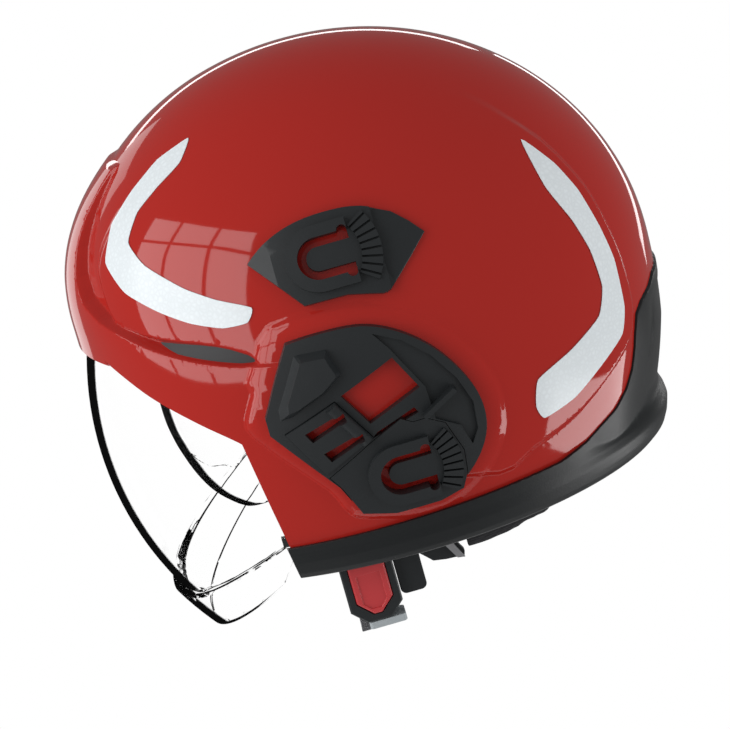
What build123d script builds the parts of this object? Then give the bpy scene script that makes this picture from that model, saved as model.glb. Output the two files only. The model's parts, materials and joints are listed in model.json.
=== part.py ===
from build123d import *
import math
import os

os.makedirs("parts", exist_ok=True)

# The helmet stands as it is worn. Front is -Y, the wearer's left is +X and up is +Z.
# The origin is the middle of the head at the height of the ear canals. Lengths are in millimetres.

# Shell form
shell_half_width = 118.0
shell_half_length = 150.2
shell_rise = 138.7
shell_centre_y = 4.5
shell_centre_z = 22.6
skirt_bottom_z = -88.0
skirt_inset = 22.9
shell_wall = 3.0
rim_z = -69.0
surface_gap = 0.3
overrun = 30.0

# Front form: an upright nose that trims the dome and carries the brow band and the front plate
front_half_width = 126.0
front_half_length = 150.0
front_rise = 120.0
front_centre_y = 18.0
front_centre_z = 55.0
brow_proud = 7.0
ledge_wall = 6.5

# Side bowls
bowl_proud = 2.5
bowl_top_proud = 0.5
bowl_inner_x = 28.0

# Neck guard
guard_proud = 3.0
guard_floor = 3.0
guard_return = 10.0
guard_lead = 1.5
lip_half_width = 106.0
lip_half_length = 143.0
lip_thickness = 10.0
lip_front_y = 30.0
lip_round = 2.5
neck_pad_thickness = 6.0

# Stickers
sticker_gap = 0.05
sticker_thickness = 0.25

# Face shield and its hinge
hinge_y = 25.0
hinge_z = -10.0
shield_radius = 162.0
shield_half_width = 102.0
shield_power = 2.4
shield_steps = 10
shield_wall = 2.5
shield_top_angle = 23.0
shield_lip_angle = -28.2
shield_bottom_angle = -36.8
shield_lip_proud = 4.0
shield_lip_side_proud = 0.8
shield_ledge_angle = 0.9
ear_share = 0.6
ear_top_angle = 31.0
ear_rear_angle = 97.0
lip_share = 0.7
lip_corner_angle = 4.0
hub_radius = 17.0
hub_thickness = 2.8
pin_radius = 5.0
pin_clearance = 0.05
pin_depth = 8.5
pin_head_radius = 9.0
pin_head_thickness = 2.0
pin_head_chamfer = 0.6
collar_outer_radius = 13.0
hook_length = 8.0
hook_height = 5.0

# Ocular visor and its hinge
lens_half_width = 84.0
lens_depth = 88.2
lens_centre_y = -14.0
lens_top_z = 15.0
lens_height = 65.0
lens_wall = 2.2
lens_back_y = -44.0
nose_half_width = 19.0
nose_height = 22.0
ocular_hinge_y = -28.0
ocular_hinge_z = 56.0
arm_inner_x = 79.6
arm_thickness = 2.4
arm_width = 13.0
arm_eye_radius = 8.0
rivet_radius = 4.0
rivet_length = 7.0
ocular_pin_radius = 3.5
ocular_pin_head_radius = 6.0
ocular_pin_head_thickness = 1.4
ocular_base_radius = 12.0
ocular_base_thickness = 2.2

# Liner and head space
liner_half_width = 88.0
liner_half_length = 137.5
liner_rise = 133.5
liner_centre_y = 12.0
head_half_width = 80.0
head_half_length = 104.0
head_rise = 112.0
head_centre_y = 5.0
sweep_gap = 3.0
sweep_top_angle = 73.0
arm_pocket_radius = 42.0
crown_pad_thickness = 7.0
crown_pad_z = 108.0

# Headband, nape band and ratchet
band_gap = 0.6
band_wall = 2.0
band_low_z = 40.0
band_high_z = 84.0
band_rear_y = 62.0
brow_pad_wall = 6.0
brow_pad_rear_y = -20.0
nape_low_z = -56.0
nape_high_z = -24.0
nape_front_y = 50.0
nape_tongue_half_width = 21.0
nape_tongue_low_z = -79.0
nape_pad_half_width = 48.0
nape_pad_low_z = -74.0
housing_half_width = 19.0
housing_depth = 8.0
housing_lift = 3.0
knob_z = -63.0
knob_radius = 15.0
knob_depth = 10.0
knob_groove = 1.3
knob_grooves = 18
knob_stub_radius = 4.0
knob_stub_length = 5.0

# Chin strap and buckle
strap_width = 20.0
strap_thickness = 1.6
anchor_front_y = -22.0
anchor_rear_y = 48.0
anchor_z = -53.5
anchor_length = 14.0
anchor_height = 11.0
strap_x = 88.0
buckle_y = -25.8
buckle_inner_x = 78.0
buckle_thickness = 13.0
buckle_top_z = -60.0
buckle_low_z = -105.5
buckle_width = 26.0
buckle_corner = 7.0
tab_width = 18.0
tab_length = 34.0
tab_thickness = 4.0
tab_proud = 0.8
tab_low_z = -101.5
tab_travel = 2.0
tab_inset_share = 0.17
tab_hollow_share = 0.62
tongue_height = 3.6
tongue_depth_share = 0.33
tongue_shank_width = 12.0
tongue_shank_thickness = 3.0
tongue_shank_length = 16.0
chin_low_z = -122.0
chin_pad_half_width = 34.0
chin_pad_thickness = 6.0
chin_pad_width = 26.0
divider_width = 13.0
divider_low_z = -98.0
divider_high_z = -56.0
divider_corner = 3.0
divider_thickness = 3.6
slider_length = 21.5
slider_height = 27.0
slider_bar_thickness = 1.6
slider_z = -87.2

# Side cover, adapter clip and lamp brackets
cover_x_share = 0.6
cover_base = 7.5
cover_block = 12.5
cover_floor = 5.0
cover_dish = 5.8
clip_top = 9.0
clip_nose_radius = 3.0
cover_bevel = 25.0
fin_height = 4.5
bracket_base = 4.5
bracket_wall = 3.0
bracket_ring_radius = 15.5
bracket_slot_radius = 9.8
bracket_tongue_radius = 5.6
bracket_arm_length = 16.0
keyhole_radius = 2.4
fan_inner_radius = 20.0
fan_outer_radius = 29.5
fan_half_angle = 34.0
fan_grooves = 8
fan_groove_width = 1.0
fan_raise = 1.6
upper_bracket_length = 85.0
upper_bracket_x = 108.0
leaf_rear_start = 28.0
leaf_front_start = -21.0
leaf_height = 2.9
leaf_angle = 21.0
upper_bracket_y = -8.0
upper_bracket_z = 80.0
upper_bracket_tilt = 21.5
lower_bracket_y = 2.0
lower_bracket_z = -25.5


def sized(shares, length, height, start_y=0.0, start_z=0.0):
    """Turn an outline's shares into points."""
    return [(start_y + length * u, start_z + height * v) for u, v in shares]


def on_shell(shares):
    """Points of a side outline, as shares of the shell's half length and rise."""
    return sized(shares, shell_half_length, shell_rise, shell_centre_y, shell_centre_z)


def side_prism(points, x_from, x_to, smooth=False):
    """A prism along X of a closed outline of (y, z) points."""
    edge = Spline(points, periodic=True) if smooth else Polyline(points, close=True)
    return extrude(Plane.YZ.offset(x_from) * make_face(edge), amount=x_to - x_from)


def both_sides(solid):
    """A piece and its mirror image."""
    return [solid, mirror(solid, about=Plane.YZ)]


def dome_form(half_width, half_length, rise, centre_y, centre_z, inset):
    """A quarter ellipse over the waist and an arc or a straight skirt below it, squeezed sideways."""
    foot_z = skirt_bottom_z - centre_z
    waist = (half_length, 0)
    foot = (half_length - inset, foot_z)
    arc = EllipticalCenterArc((0, 0), half_length, rise, start_angle=0, arc_size=90)
    skirt = TangentArc(waist, foot, tangent=(0, -1)) if inset else Line(waist, foot)
    outline = make_face(arc + skirt + Polyline(foot, (0, foot_z), (0, rise)))
    turned = revolve(Plane.XZ * outline, axis=Axis.Z)
    return Pos(0, centre_y, centre_z) * scale(turned, by=(half_width / half_length, 1, 1))


def main_form(grow=0.0, top=None):
    """The shell's main dome, grown outwards."""
    rise = shell_rise + (grow if top is None else top)
    return dome_form(shell_half_width + grow, shell_half_length + grow, rise,
                     shell_centre_y, shell_centre_z, skirt_inset)


def front_form(grow=0.0):
    """The upright front, grown outwards."""
    return dome_form(front_half_width + grow, front_half_length + grow, front_rise + grow,
                     front_centre_y, front_centre_z, 0)


def block(low, high):
    """A box between two corners."""
    size = [b - a for a, b in zip(low, high)]
    middle = [(a + b) / 2 for a, b in zip(low, high)]
    return Pos(*middle) * Box(*size)


reach = 2 * shell_half_length

# Front view of the brow band and the plate, in shares of the shell's half width and of its rise
brow_shares = [(0.15, 0.76), (0.18, 0.66), (0.22, 0.53), (0.27, 0.44), (0.35, 0.37), (0.46, 0.32),
               (0.61, 0.265), (0.80, 0.18), (0.90, 0.135), (1.05, 0.10)]


def band_zone(drop=0.0, with_plate=True):
    """The region of the brow band, the front plate and everything below them."""
    right = sized(brow_shares[0 if with_plate else 5:], shell_half_width, shell_rise, 0, shell_centre_z)
    right = [(x, z - drop) for x, z in right]
    right += [(right[-1][0] + overrun, right[-1][1]), (right[-1][0] + overrun, skirt_bottom_z - overrun)]
    left = [(-x, z) for x, z in reversed(right)]
    face = make_face(Polyline(right + left, close=True))
    zone = extrude(Plane.XZ * face, amount=reach, both=True)
    return zone


bowl_shares = [(-0.75, 0.28), (-0.756, 0.457), (-0.72, 0.545), (-0.64, 0.65), (-0.516, 0.745),
               (-0.40, 0.82), (-0.25, 0.895), (-0.03, 0.93), (0.236, 0.89), (0.47, 0.72), (0.66, 0.47),
               (0.756, 0.284), (0.79, 0.147), (0.81, 0.01), (0.826, -0.134), (0.76, -0.264),
               (0.56, -0.37), (0.40, -0.415), (0.28, -0.46), (-0.10, -0.30), (-0.323, 0.111),
               (-0.456, 0.14), (-0.57, 0.18)]


def bowl_body(grow=0.0):
    """The proud left bowl, over the full thickness below its skin."""
    skin = main_form(bowl_proud + grow, bowl_top_proud + grow) & front_form(bowl_proud + grow - brow_proud)
    return skin & side_prism(on_shell(bowl_shares), bowl_inner_x, reach)


def shell_inside():
    """The space inside the shell, from its inner skin."""
    skin = main_form(-shell_wall)
    upper = skin & front_form(-shell_wall - brow_proud)
    lower = (skin & front_form(-shell_wall)) & band_zone(ledge_wall, with_plate=False)
    return upper + lower


face_shares = [(-0.902, 0.161), (-0.81, 0.15), (-0.708, 0.05), (-0.583, -0.05), (-0.467, -0.141),
               (-0.42, -0.205), (-0.389, -0.336), (-0.383, -0.80)]


def face_opening(lead=0.0):
    """The region in front of the brow edge and of the ear flaps."""
    edge = [(y - lead, z) for y, z in on_shell(face_shares)]
    edge += [(-reach, edge[-1][1]), (-reach, edge[0][1])]
    return side_prism(edge, -reach, reach)


# Side view outlines of the cover, the clip and the lower bracket, in the shell's own shares
cover_round_shares = [(-0.253, 0.188), (-0.18, 0.197), (-0.11, 0.199), (-0.012, 0.188), (0.093, 0.134),
                      (0.18, 0.049), (0.248, -0.066), (0.282, -0.175), (0.276, -0.283), (0.238, -0.362),
                      (0.178, -0.427), (0.083, -0.477), (-0.061, -0.473), (-0.166, -0.451)]
cover_front_shares = [(-0.21, -0.343), (-0.374, -0.107), (-0.374, -0.048), (-0.308, 0.088)]
block_shares = [(-0.253, 0.18), (-0.106, 0.185), (-0.095, 0.125), (-0.072, 0.068), (-0.055, 0.04),
                (-0.16, -0.037), (-0.33, -0.10), (-0.365, -0.095), (-0.366, -0.048), (-0.302, 0.085)]
dish_shares = [(0.01, 0.155), (0.09, 0.108), (0.165, 0.03), (0.225, -0.075), (0.256, -0.175), (0.25, -0.27),
               (0.222, -0.32), (0.2, -0.24), (0.13, -0.19), (0.125, -0.07), (0.05, 0.09)]
clip_shares = [(-0.328, -0.112), (-0.156, -0.037), (-0.072, -0.188), (-0.24, -0.283)]
slot_one_shares = [(-0.270, -0.123), (-0.140, -0.075), (-0.134, -0.105), (-0.253, -0.158)]
slot_two_shares = [(-0.230, -0.205), (-0.100, -0.160), (-0.097, -0.187), (-0.213, -0.240)]
window_shares = [(0.049, 0.06), (0.108, -0.065), (-0.067, -0.142), (-0.133, -0.023)]
red_slot_shares = [(0.075, -0.128), (0.085, -0.150), (-0.075, -0.196), (-0.055, -0.178)]
fin_shares = [(0.205, -0.095), (0.095, -0.158), (0.10, -0.175), (0.215, -0.11)]
lower_bracket_shares = [(-0.232, -0.30), (-0.075, -0.205), (0.025, -0.155), (0.06, -0.178), (0.10, -0.178),
                        (0.155, -0.215), (0.19, -0.33), (0.183, -0.415), (0.16, -0.467), (0.083, -0.487),
                        (-0.061, -0.487), (-0.163, -0.458), (-0.205, -0.345)]


cover_x = cover_x_share * shell_half_width


def cover_blank():
    """A prism along X of the cover's outline."""
    rounded = on_shell(cover_round_shares)
    face = make_face(Spline(rounded) + Polyline([rounded[-1]] + on_shell(cover_front_shares) + [rounded[0]]))
    return extrude(Plane.YZ.offset(cover_x) * face, amount=reach)


def outer_shell():
    """Composite shell: dome, brow band with its plate, side bowls and ear flaps."""
    skin = main_form()
    dome = skin & front_form(-brow_proud)
    band = (skin & front_form()) & band_zone()
    body = dome + band
    for bowl in both_sides(bowl_body()):
        body += bowl
    body -= shell_inside()
    body -= face_opening()
    body &= block((-reach, -reach, rim_z), (reach, reach, reach))
    return body


def slice_z(solid, low, high):
    """Keep a solid between two heights."""
    return solid & block((-reach, -reach, low), (reach, reach, high))


guard_shares = [(-0.60, -0.567), (0.20, -0.567), (0.476, -0.531), (0.61, -0.502), (0.722, -0.48),
                (0.80, -0.45), (0.842, -0.307), (0.90, -0.221), (0.955, -0.177), (1.20, -0.163)]


def neck_guard():
    """Rubber moulding round the rim, with the raised rear centre, the inner return and the rolled lip."""
    edge = on_shell(guard_shares)
    edge += [(edge[-1][0], skirt_bottom_z), (edge[0][0], skirt_bottom_z)]
    low = rim_z - surface_gap - guard_floor
    inner_face = -shell_wall - surface_gap
    skin = (main_form(guard_proud) - main_form(surface_gap)) & side_prism(edge, -reach, reach)
    skin = slice_z(skin, low, reach)
    floor = slice_z(main_form(guard_proud) - main_form(inner_face - guard_floor), low, rim_z - surface_gap)
    back = slice_z(main_form(inner_face) - main_form(inner_face - guard_floor), low, rim_z + guard_return)
    disc = Cylinder(lip_half_length, lip_thickness)
    disc = fillet(disc.edges().filter_by(GeomType.CIRCLE), lip_round)
    disc = scale(disc, by=(lip_half_width / lip_half_length, 1, 1))
    lip = Pos(0, shell_centre_y, low + guard_floor + lip_thickness / 2) * disc
    lip = (lip - main_form(surface_gap)) & block((-reach, lip_front_y, -reach), (reach, reach, reach))
    return (skin + floor + back + lip) - face_opening(guard_lead)


front_sticker_shares = [(-0.368, 0.836), (-0.415, 0.775), (-0.501, 0.717), (-0.585, 0.65),
                        (-0.638, 0.565), (-0.606, 0.494), (-0.506, 0.412), (-0.419, 0.362),
                        (-0.32, 0.318), (-0.345, 0.272), (-0.423, 0.267), (-0.517, 0.297),
                        (-0.605, 0.345), (-0.692, 0.41), (-0.728, 0.50), (-0.678, 0.61),
                        (-0.587, 0.705), (-0.481, 0.787)]
rear_sticker_shares = [(0.63, 0.55), (0.712, 0.44), (0.764, 0.327), (0.80, 0.188), (0.82, 0.06),
                       (0.815, -0.11), (0.784, -0.198), (0.692, -0.257), (0.577, -0.32),
                       (0.465, -0.342), (0.447, -0.29), (0.475, -0.20), (0.606, -0.151),
                       (0.72, -0.091), (0.756, 0.0), (0.747, 0.134), (0.715, 0.253), (0.66, 0.39)]


def sticker(shares):
    """A thin reflective sticker on the left bowl."""
    skin = bowl_body(sticker_gap + sticker_thickness) - bowl_body(sticker_gap)
    return skin & side_prism(on_shell(shares), bowl_inner_x, reach)


neck_pad_shares = [(0.125, -0.603), (0.125, -0.755), (0.214, -0.754), (0.303, -0.745), (0.412, -0.73),
                   (0.452, -0.698), (0.476, -0.603)]


def neck_pad():
    """Soft textile strip that hangs inside the left rim."""
    outer = -shell_wall - 2 * surface_gap - guard_floor
    strip = main_form(outer) - main_form(outer - neck_pad_thickness)
    return strip & side_prism(on_shell(neck_pad_shares), bowl_inner_x, reach)


def hinge_point(radius, angle):
    """A side view point at a radius and an angle above the forward direction from the shield's hinge."""
    turn = math.radians(angle)
    return (hinge_y - radius * math.cos(turn), hinge_z + radius * math.sin(turn))


def swung_solid(half_width, radius):
    """The round body that a curved visor sweeps about the hinge axis."""
    turns = [math.pi / 2 * (k / shield_steps) ** 2 for k in range(shield_steps + 1)]
    share = 2 / shield_power
    right = [(half_width * math.cos(t) ** share, radius * math.sin(t) ** share) for t in turns]
    right[-1] = (0, radius)
    left = [(-x, r) for x, r in reversed(right[:-1])]
    outline = make_face(Spline(right + left) + Line(left[-1], right[0]))
    return Pos(0, hinge_y, hinge_z) * revolve(Plane.XZ * outline, axis=Axis.X)


def face_shield():
    """Clear visor turned about its hinge axis, with hinge ears, holes and the proud lip."""
    outer = swung_solid(shield_half_width, shield_radius)
    inner = swung_solid(shield_half_width - shield_wall, shield_radius - shield_wall)
    far = shield_radius + overrun
    ledge_angle = shield_lip_angle - shield_ledge_angle
    arm = [hinge_point(hub_radius, ear_rear_angle),
           hinge_point(ear_share * shield_radius, ear_top_angle),
           hinge_point(far, shield_top_angle), hinge_point(far, ledge_angle),
           hinge_point(ear_share * shield_radius, ledge_angle), hinge_point(hub_radius, -ear_rear_angle)]
    zone = side_prism(arm, -reach, reach)
    zone += Pos(0, hinge_y, hinge_z) * Rot(0, 90, 0) * Cylinder(hub_radius, 2 * reach)
    wall = (outer - inner) & zone
    lip_outer = swung_solid(shield_half_width + shield_lip_side_proud, shield_radius + shield_lip_proud)
    step = shield_lip_proud - shield_wall
    lip_inner = swung_solid(shield_half_width - shield_wall + shield_lip_side_proud, shield_radius + step)
    ear = ear_share * shield_radius
    lip_edge = [hinge_point(ear, shield_lip_angle), hinge_point(far, shield_lip_angle),
                hinge_point(far, shield_bottom_angle),
                hinge_point(lip_share * shield_radius, shield_bottom_angle),
                hinge_point(ear, shield_bottom_angle + lip_corner_angle)]
    band = (lip_outer - lip_inner) & side_prism(lip_edge, -reach, reach)
    ledge_edge = [hinge_point(ear, shield_lip_angle), hinge_point(far, shield_lip_angle),
                  hinge_point(far, ledge_angle), hinge_point(ear, ledge_angle)]
    ledge = (lip_outer - inner) & side_prism(ledge_edge, -reach, reach)
    hole = Pos(0, hinge_y, hinge_z) * Rot(0, 90, 0) * Cylinder(pin_radius + pin_clearance, 2 * reach)
    return wall + band + ledge - hole


def disc_x(radius, x_from, x_to, y, z):
    """A cylinder along X between two places."""
    return Pos((x_from + x_to) / 2, y, z) * Rot(0, 90, 0) * Cylinder(radius, x_to - x_from)


hub_outer_x = shield_half_width - shield_wall - surface_gap
hub_inner_x = hub_outer_x - hub_thickness


def shield_hinge():
    """Hub plate inside the shield's ear."""
    plate = disc_x(hub_radius, hub_inner_x, hub_outer_x, hinge_y, hinge_z)
    return plate - disc_x(pin_radius + pin_clearance, 0, reach, hinge_y, hinge_z)


def shield_hook():
    """Small catch at the shield's rear lower corner."""
    low_y, low_z = hinge_point(ear_share * shield_radius, shield_lip_angle)
    outer = swung_solid(shield_half_width + shield_lip_proud, shield_radius + shield_lip_proud)
    inner = swung_solid(shield_half_width + surface_gap, shield_radius + surface_gap)
    catch = block((0, low_y, low_z + surface_gap), (reach, low_y + hook_length, low_z + hook_height))
    return (outer - inner) & catch


def pivot_mount():
    """Boss on the shell's inner wall that carries the shield's screw."""
    boss = disc_x(collar_outer_radius, shield_half_width + surface_gap, reach, hinge_y, hinge_z)
    boss &= main_form(-shell_wall - surface_gap)
    depth = shield_half_width + pin_depth + surface_gap
    return boss - disc_x(pin_radius + pin_clearance, 0, depth, hinge_y, hinge_z)


def pivot_screw():
    """Shoulder screw: the head inside, the shoulder through the hub, the ear and the boss."""
    head_outer = hub_inner_x - surface_gap
    head_inner = head_outer - pin_head_thickness
    shoulder = disc_x(pin_radius, head_inner, shield_half_width + pin_depth, hinge_y, hinge_z)
    head = disc_x(pin_head_radius, head_inner, head_outer, hinge_y, hinge_z)
    head = chamfer(head.edges().group_by(Axis.X)[0], pin_head_chamfer)
    half = pin_head_thickness / 2
    slot = block((0, hinge_y - pin_head_radius, hinge_z - half),
                 (head_outer - half, hinge_y + pin_head_radius, hinge_z + half))
    return shoulder + head - slot


# Side profile of the ocular lens: height share below the top, share of the lens depth
lens_shares = [(0.0, 0.992), (0.2, 1.0), (0.35, 0.998), (0.52, 0.977), (0.72, 0.933), (0.86, 0.888),
               (0.955, 0.84), (1.0, 0.80)]


def lens_profile(inset):
    """Side profile points of the lens, inside its outer face by an inset."""
    return [(lens_depth * share - inset, lens_top_z - lens_height * drop) for drop, share in lens_shares]


def lens_ring():
    """The lens's wall carried all the way round."""
    outer = lens_profile(0)
    inner = lens_profile(lens_wall)[::-1]
    outline = make_face(Spline(outer) + Line(outer[-1], inner[0]) + Spline(inner) + Line(inner[-1], outer[0]))
    turned = revolve(Plane.XZ * outline, axis=Axis.Z)
    return Pos(0, lens_centre_y, 0) * scale(turned, by=(lens_half_width / lens_depth, 1, 1))


rivet_y = lens_back_y - arm_width / 2
rivet_z = lens_top_z - arm_width / 2


# Nose cut-out in shares of its half width and height, and the cut lower corner in shares of the lens height
nose_shares = [(0.0, 1.0), (0.45, 0.8), (1.0, 0.3), (1.5, 0.0), (1.6, -1.0)]
corner_shares = [(-0.15, -0.5), (-0.45, 0.0), (-0.16, 0.16), (0.0, 0.5), (0.5, 0.5), (0.5, -0.5)]


def ocular_visor():
    """Inner clear lens with rounded lower corners, rivet holes and the nose cut-out."""
    low_z = lens_top_z - lens_height
    lens = lens_ring() & block((-reach, -reach, -reach), (reach, lens_back_y, reach))
    nose = sized(nose_shares, nose_half_width, nose_height, 0, low_z)
    nose += [(-x, z) for x, z in reversed(nose[1:])]
    cut = extrude(Plane.XZ * make_face(Polyline(nose, close=True)), amount=reach)
    corner = sized(corner_shares, lens_height, lens_height, lens_back_y, low_z)
    holes = disc_x(rivet_radius + surface_gap, -reach, reach, rivet_y, rivet_z)
    return lens - cut - side_prism(corner, -reach, reach) - holes


def ocular_arm():
    """Flat arm from the hinge eye to the lens's upper rear corner, with its rivet."""
    outer_x = arm_inner_x + arm_thickness
    half = arm_width / 2
    side = [(ocular_hinge_y - half, ocular_hinge_z), (rivet_y - half, rivet_z),
            (rivet_y - half, rivet_z - half), (rivet_y + half, rivet_z - half),
            (rivet_y + half, rivet_z), (ocular_hinge_y + half, ocular_hinge_z)]
    arm = side_prism(side, arm_inner_x, outer_x)
    arm += disc_x(arm_eye_radius, arm_inner_x, outer_x, ocular_hinge_y, ocular_hinge_z)
    arm -= disc_x(ocular_pin_radius + pin_clearance, 0, reach, ocular_hinge_y, ocular_hinge_z)
    return arm + disc_x(rivet_radius, arm_inner_x - rivet_length, arm_inner_x, rivet_y, rivet_z)


def ocular_mount():
    """Pin on a round base in the liner, with its head outside the arm."""
    base_x = arm_inner_x - surface_gap
    outer_x = arm_inner_x + arm_thickness + surface_gap
    place = (ocular_hinge_y, ocular_hinge_z)
    base = disc_x(ocular_base_radius, base_x - ocular_base_thickness, base_x, *place)
    pin = disc_x(ocular_pin_radius, base_x, outer_x, *place)
    return base + pin + disc_x(ocular_pin_head_radius, outer_x, outer_x + ocular_pin_head_thickness, *place)


def head_form(grow=0.0):
    """The space for the head and its padding."""
    return dome_form(head_half_width + grow, head_half_length + grow, head_rise + grow,
                     head_centre_y, shell_centre_z, 0)


liner_shares = [(-1.5, 0.37), (-0.48, 0.37), (-0.36, 0.13), (-0.27, 0.0), (0.27, 0.0), (0.38, -0.49),
                (1.5, -0.49)]


def impact_liner():
    """Hard foam cap between the shell and the head, kept inside the shield's sweep."""
    outer = dome_form(liner_half_width, liner_half_length, liner_rise, liner_centre_y, shell_centre_z, 0)
    below = on_shell(liner_shares)
    below += [(below[-1][0], -reach), (below[0][0], -reach)]
    side_gap = shield_wall + sweep_gap
    far = 2 * reach
    wedge = side_prism([(hinge_y, hinge_z), hinge_point(far, sweep_top_angle), hinge_point(far, 0),
                        hinge_point(far, -sweep_top_angle)], -reach, reach)
    sweep = swung_solid(shield_half_width - side_gap, shield_radius - side_gap)
    liner = outer - head_form() - side_prism(below, -reach, reach) - (wedge - sweep)
    liner &= main_form(-shell_wall - surface_gap)
    base_inner = arm_inner_x - 2 * surface_gap - ocular_base_thickness
    for side in both_sides(disc_x(arm_pocket_radius, arm_inner_x - surface_gap, reach,
                                  ocular_hinge_y, ocular_hinge_z)):
        liner -= side
    for side in both_sides(disc_x(ocular_base_radius + surface_gap, base_inner, reach,
                                  ocular_hinge_y, ocular_hinge_z)):
        liner -= side
    return liner


def band(outer_gap, wall, low_z, high_z, low_y, high_y):
    """A curved strip that lies inside the head space."""
    ring = slice_z(head_form(-outer_gap) - head_form(-outer_gap - wall), low_z, high_z)
    return ring & block((-reach, low_y, -reach), (reach, high_y, reach))


def crown_pad():
    """Soft pad under the crown of the liner."""
    return slice_z(head_form(-surface_gap) - head_form(-crown_pad_thickness), crown_pad_z, reach)


def headband():
    """Plastic headband across the forehead and along the temples."""
    return band(band_gap, band_wall, band_low_z, band_high_z, -reach, band_rear_y)


def brow_pad():
    """Soft forehead pad inside the headband."""
    gap = band_gap + band_wall + surface_gap
    low, high = band_low_z - band_wall, band_high_z - 2 * band_wall
    return band(gap, brow_pad_wall, low, high, -reach, brow_pad_rear_y)


def nape_band():
    """Band behind the head with the tongue that carries the ratchet."""
    ring = band(band_gap, band_wall, nape_low_z, nape_high_z, nape_front_y, reach)
    tongue = band(band_gap, band_wall, nape_tongue_low_z, nape_high_z, nape_front_y, reach)
    half = nape_tongue_half_width
    return ring + (tongue & block((-half, 0, -reach), (half, reach, reach)))


def nape_pad():
    """Soft pad inside the nape band."""
    gap = band_gap + band_wall + surface_gap
    pad = band(gap, brow_pad_wall, nape_pad_low_z, nape_high_z - 2 * band_wall, nape_front_y, reach)
    return pad & block((-nape_pad_half_width, 0, -reach), (nape_pad_half_width, reach, reach))


housing_y = head_centre_y + head_half_length - band_gap + surface_gap
knob_y = housing_y + housing_depth + surface_gap


def ratchet_housing():
    """Box behind the nape band's tongue, with the bore for the knob."""
    low = nape_tongue_low_z + housing_lift
    high = 2 * knob_z - low
    box = block((-housing_half_width, housing_y - housing_depth, low),
                (housing_half_width, housing_y + housing_depth, high))
    box = fillet(box.edges().filter_by(Axis.Y), housing_depth / 2) - head_form(surface_gap - band_gap)
    bore = Pos(0, housing_y + housing_depth, knob_z) * Rot(90, 0, 0) * Cylinder(
        knob_stub_radius + pin_clearance, 2 * (knob_stub_length + surface_gap))
    return box - bore


def ratchet_knob():
    """Grooved knob and its stub."""
    knob = Pos(0, knob_y + knob_depth / 2, knob_z) * Rot(-90, 0, 0) * Cylinder(knob_radius, knob_depth)
    knob = chamfer(knob.edges().group_by(Axis.Y)[-1], knob_groove)
    groove = Pos(0, knob_y + knob_depth / 2, knob_z) * knob_cutters()
    stub_length = knob_stub_length + surface_gap
    stub = Pos(0, knob_y - stub_length / 2, knob_z) * Rot(90, 0, 0) * Cylinder(knob_stub_radius, stub_length)
    return knob - groove + stub


def knob_cutters():
    """Grooves round the knob, lying along Y."""
    cutter = Cylinder(knob_groove, 2 * knob_depth)
    turned = [Rot(0, 360 * k / knob_grooves, 0) * Pos(knob_radius, 0, 0) * Rot(90, 0, 0) * cutter
              for k in range(knob_grooves)]
    return Part() + turned


def grown(points, gap):
    """The face inside an outline, grown by a gap."""
    return offset(make_face(Polyline(points, close=True)), gap, kind=Kind.INTERSECTION)


def grown_prism(points, gap, x_from):
    """A prism along X of an outline grown by a gap."""
    return extrude(Plane.YZ.offset(x_from) * grown(points, gap), amount=reach)


def side_cover():
    """Moulded cover over the hinge: raised front block, channel for the clip, window, slot, dish and fin."""
    base = cover_blank() & main_form(cover_base)
    base -= side_prism(on_shell(dish_shares), cover_x, reach) - main_form(cover_dish)
    block_x = shell_half_width - cover_block / 2
    front = extrude(Plane.YZ.offset(block_x) * make_face(Polyline(on_shell(block_shares), close=True)),
                    amount=2 * cover_block, taper=cover_bevel)
    front &= main_form(cover_block)
    fin = side_prism(on_shell(fin_shares), cover_x, reach) & main_form(cover_base + fin_height)
    body = base + front + fin
    clip_room = grown_prism(on_shell(clip_shares), surface_gap, cover_x)
    body -= clip_room - main_form(cover_floor)
    body -= side_prism(on_shell(window_shares), cover_x, reach)
    body -= side_prism(on_shell(red_slot_shares), cover_x, reach)
    body -= grown_prism(on_shell(lower_bracket_shares), surface_gap, cover_x)
    for slot in (slot_one_shares, slot_two_shares):
        body -= side_prism(on_shell(slot), cover_x, reach)
    return body - main_form(surface_gap) - bowl_body(surface_gap)


def adapter_clip():
    """Plate in the cover's channel with two strap slots and a rounded nose bar."""
    plate = side_prism(on_shell(clip_shares), cover_x, reach)
    plate = (plate & main_form(clip_top)) - main_form(cover_floor + surface_gap)
    nose_low, nose_high = on_shell(clip_shares)[2], on_shell(clip_shares)[1]
    rise = math.atan2(nose_high[1] - nose_low[1], nose_high[0] - nose_low[0])
    length = math.dist(nose_low, nose_high) - 2 * surface_gap
    bar_y = (nose_low[0] + nose_high[0]) / 2 - clip_nose_radius * math.sin(rise)
    bar_z = (nose_low[1] + nose_high[1]) / 2 + clip_nose_radius * math.cos(rise)
    bar_x = shell_half_width + clip_top - clip_nose_radius / 2
    bar = Pos(bar_x, bar_y, bar_z) * Rot(math.degrees(rise) - 90, 0, 0) * Cylinder(clip_nose_radius, length)
    body = plate + (bar - main_form(cover_base))
    for slot in (slot_one_shares, slot_two_shares):
        body -= side_prism(on_shell(slot), cover_x, reach)
    return body


def rounded_slot(radius, length):
    """A bar along U with a round front end, in the bracket's own plane."""
    bar = Pos(length / 2, 0) * Rectangle(length, 2 * radius)
    return Circle(radius) + bar


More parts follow.
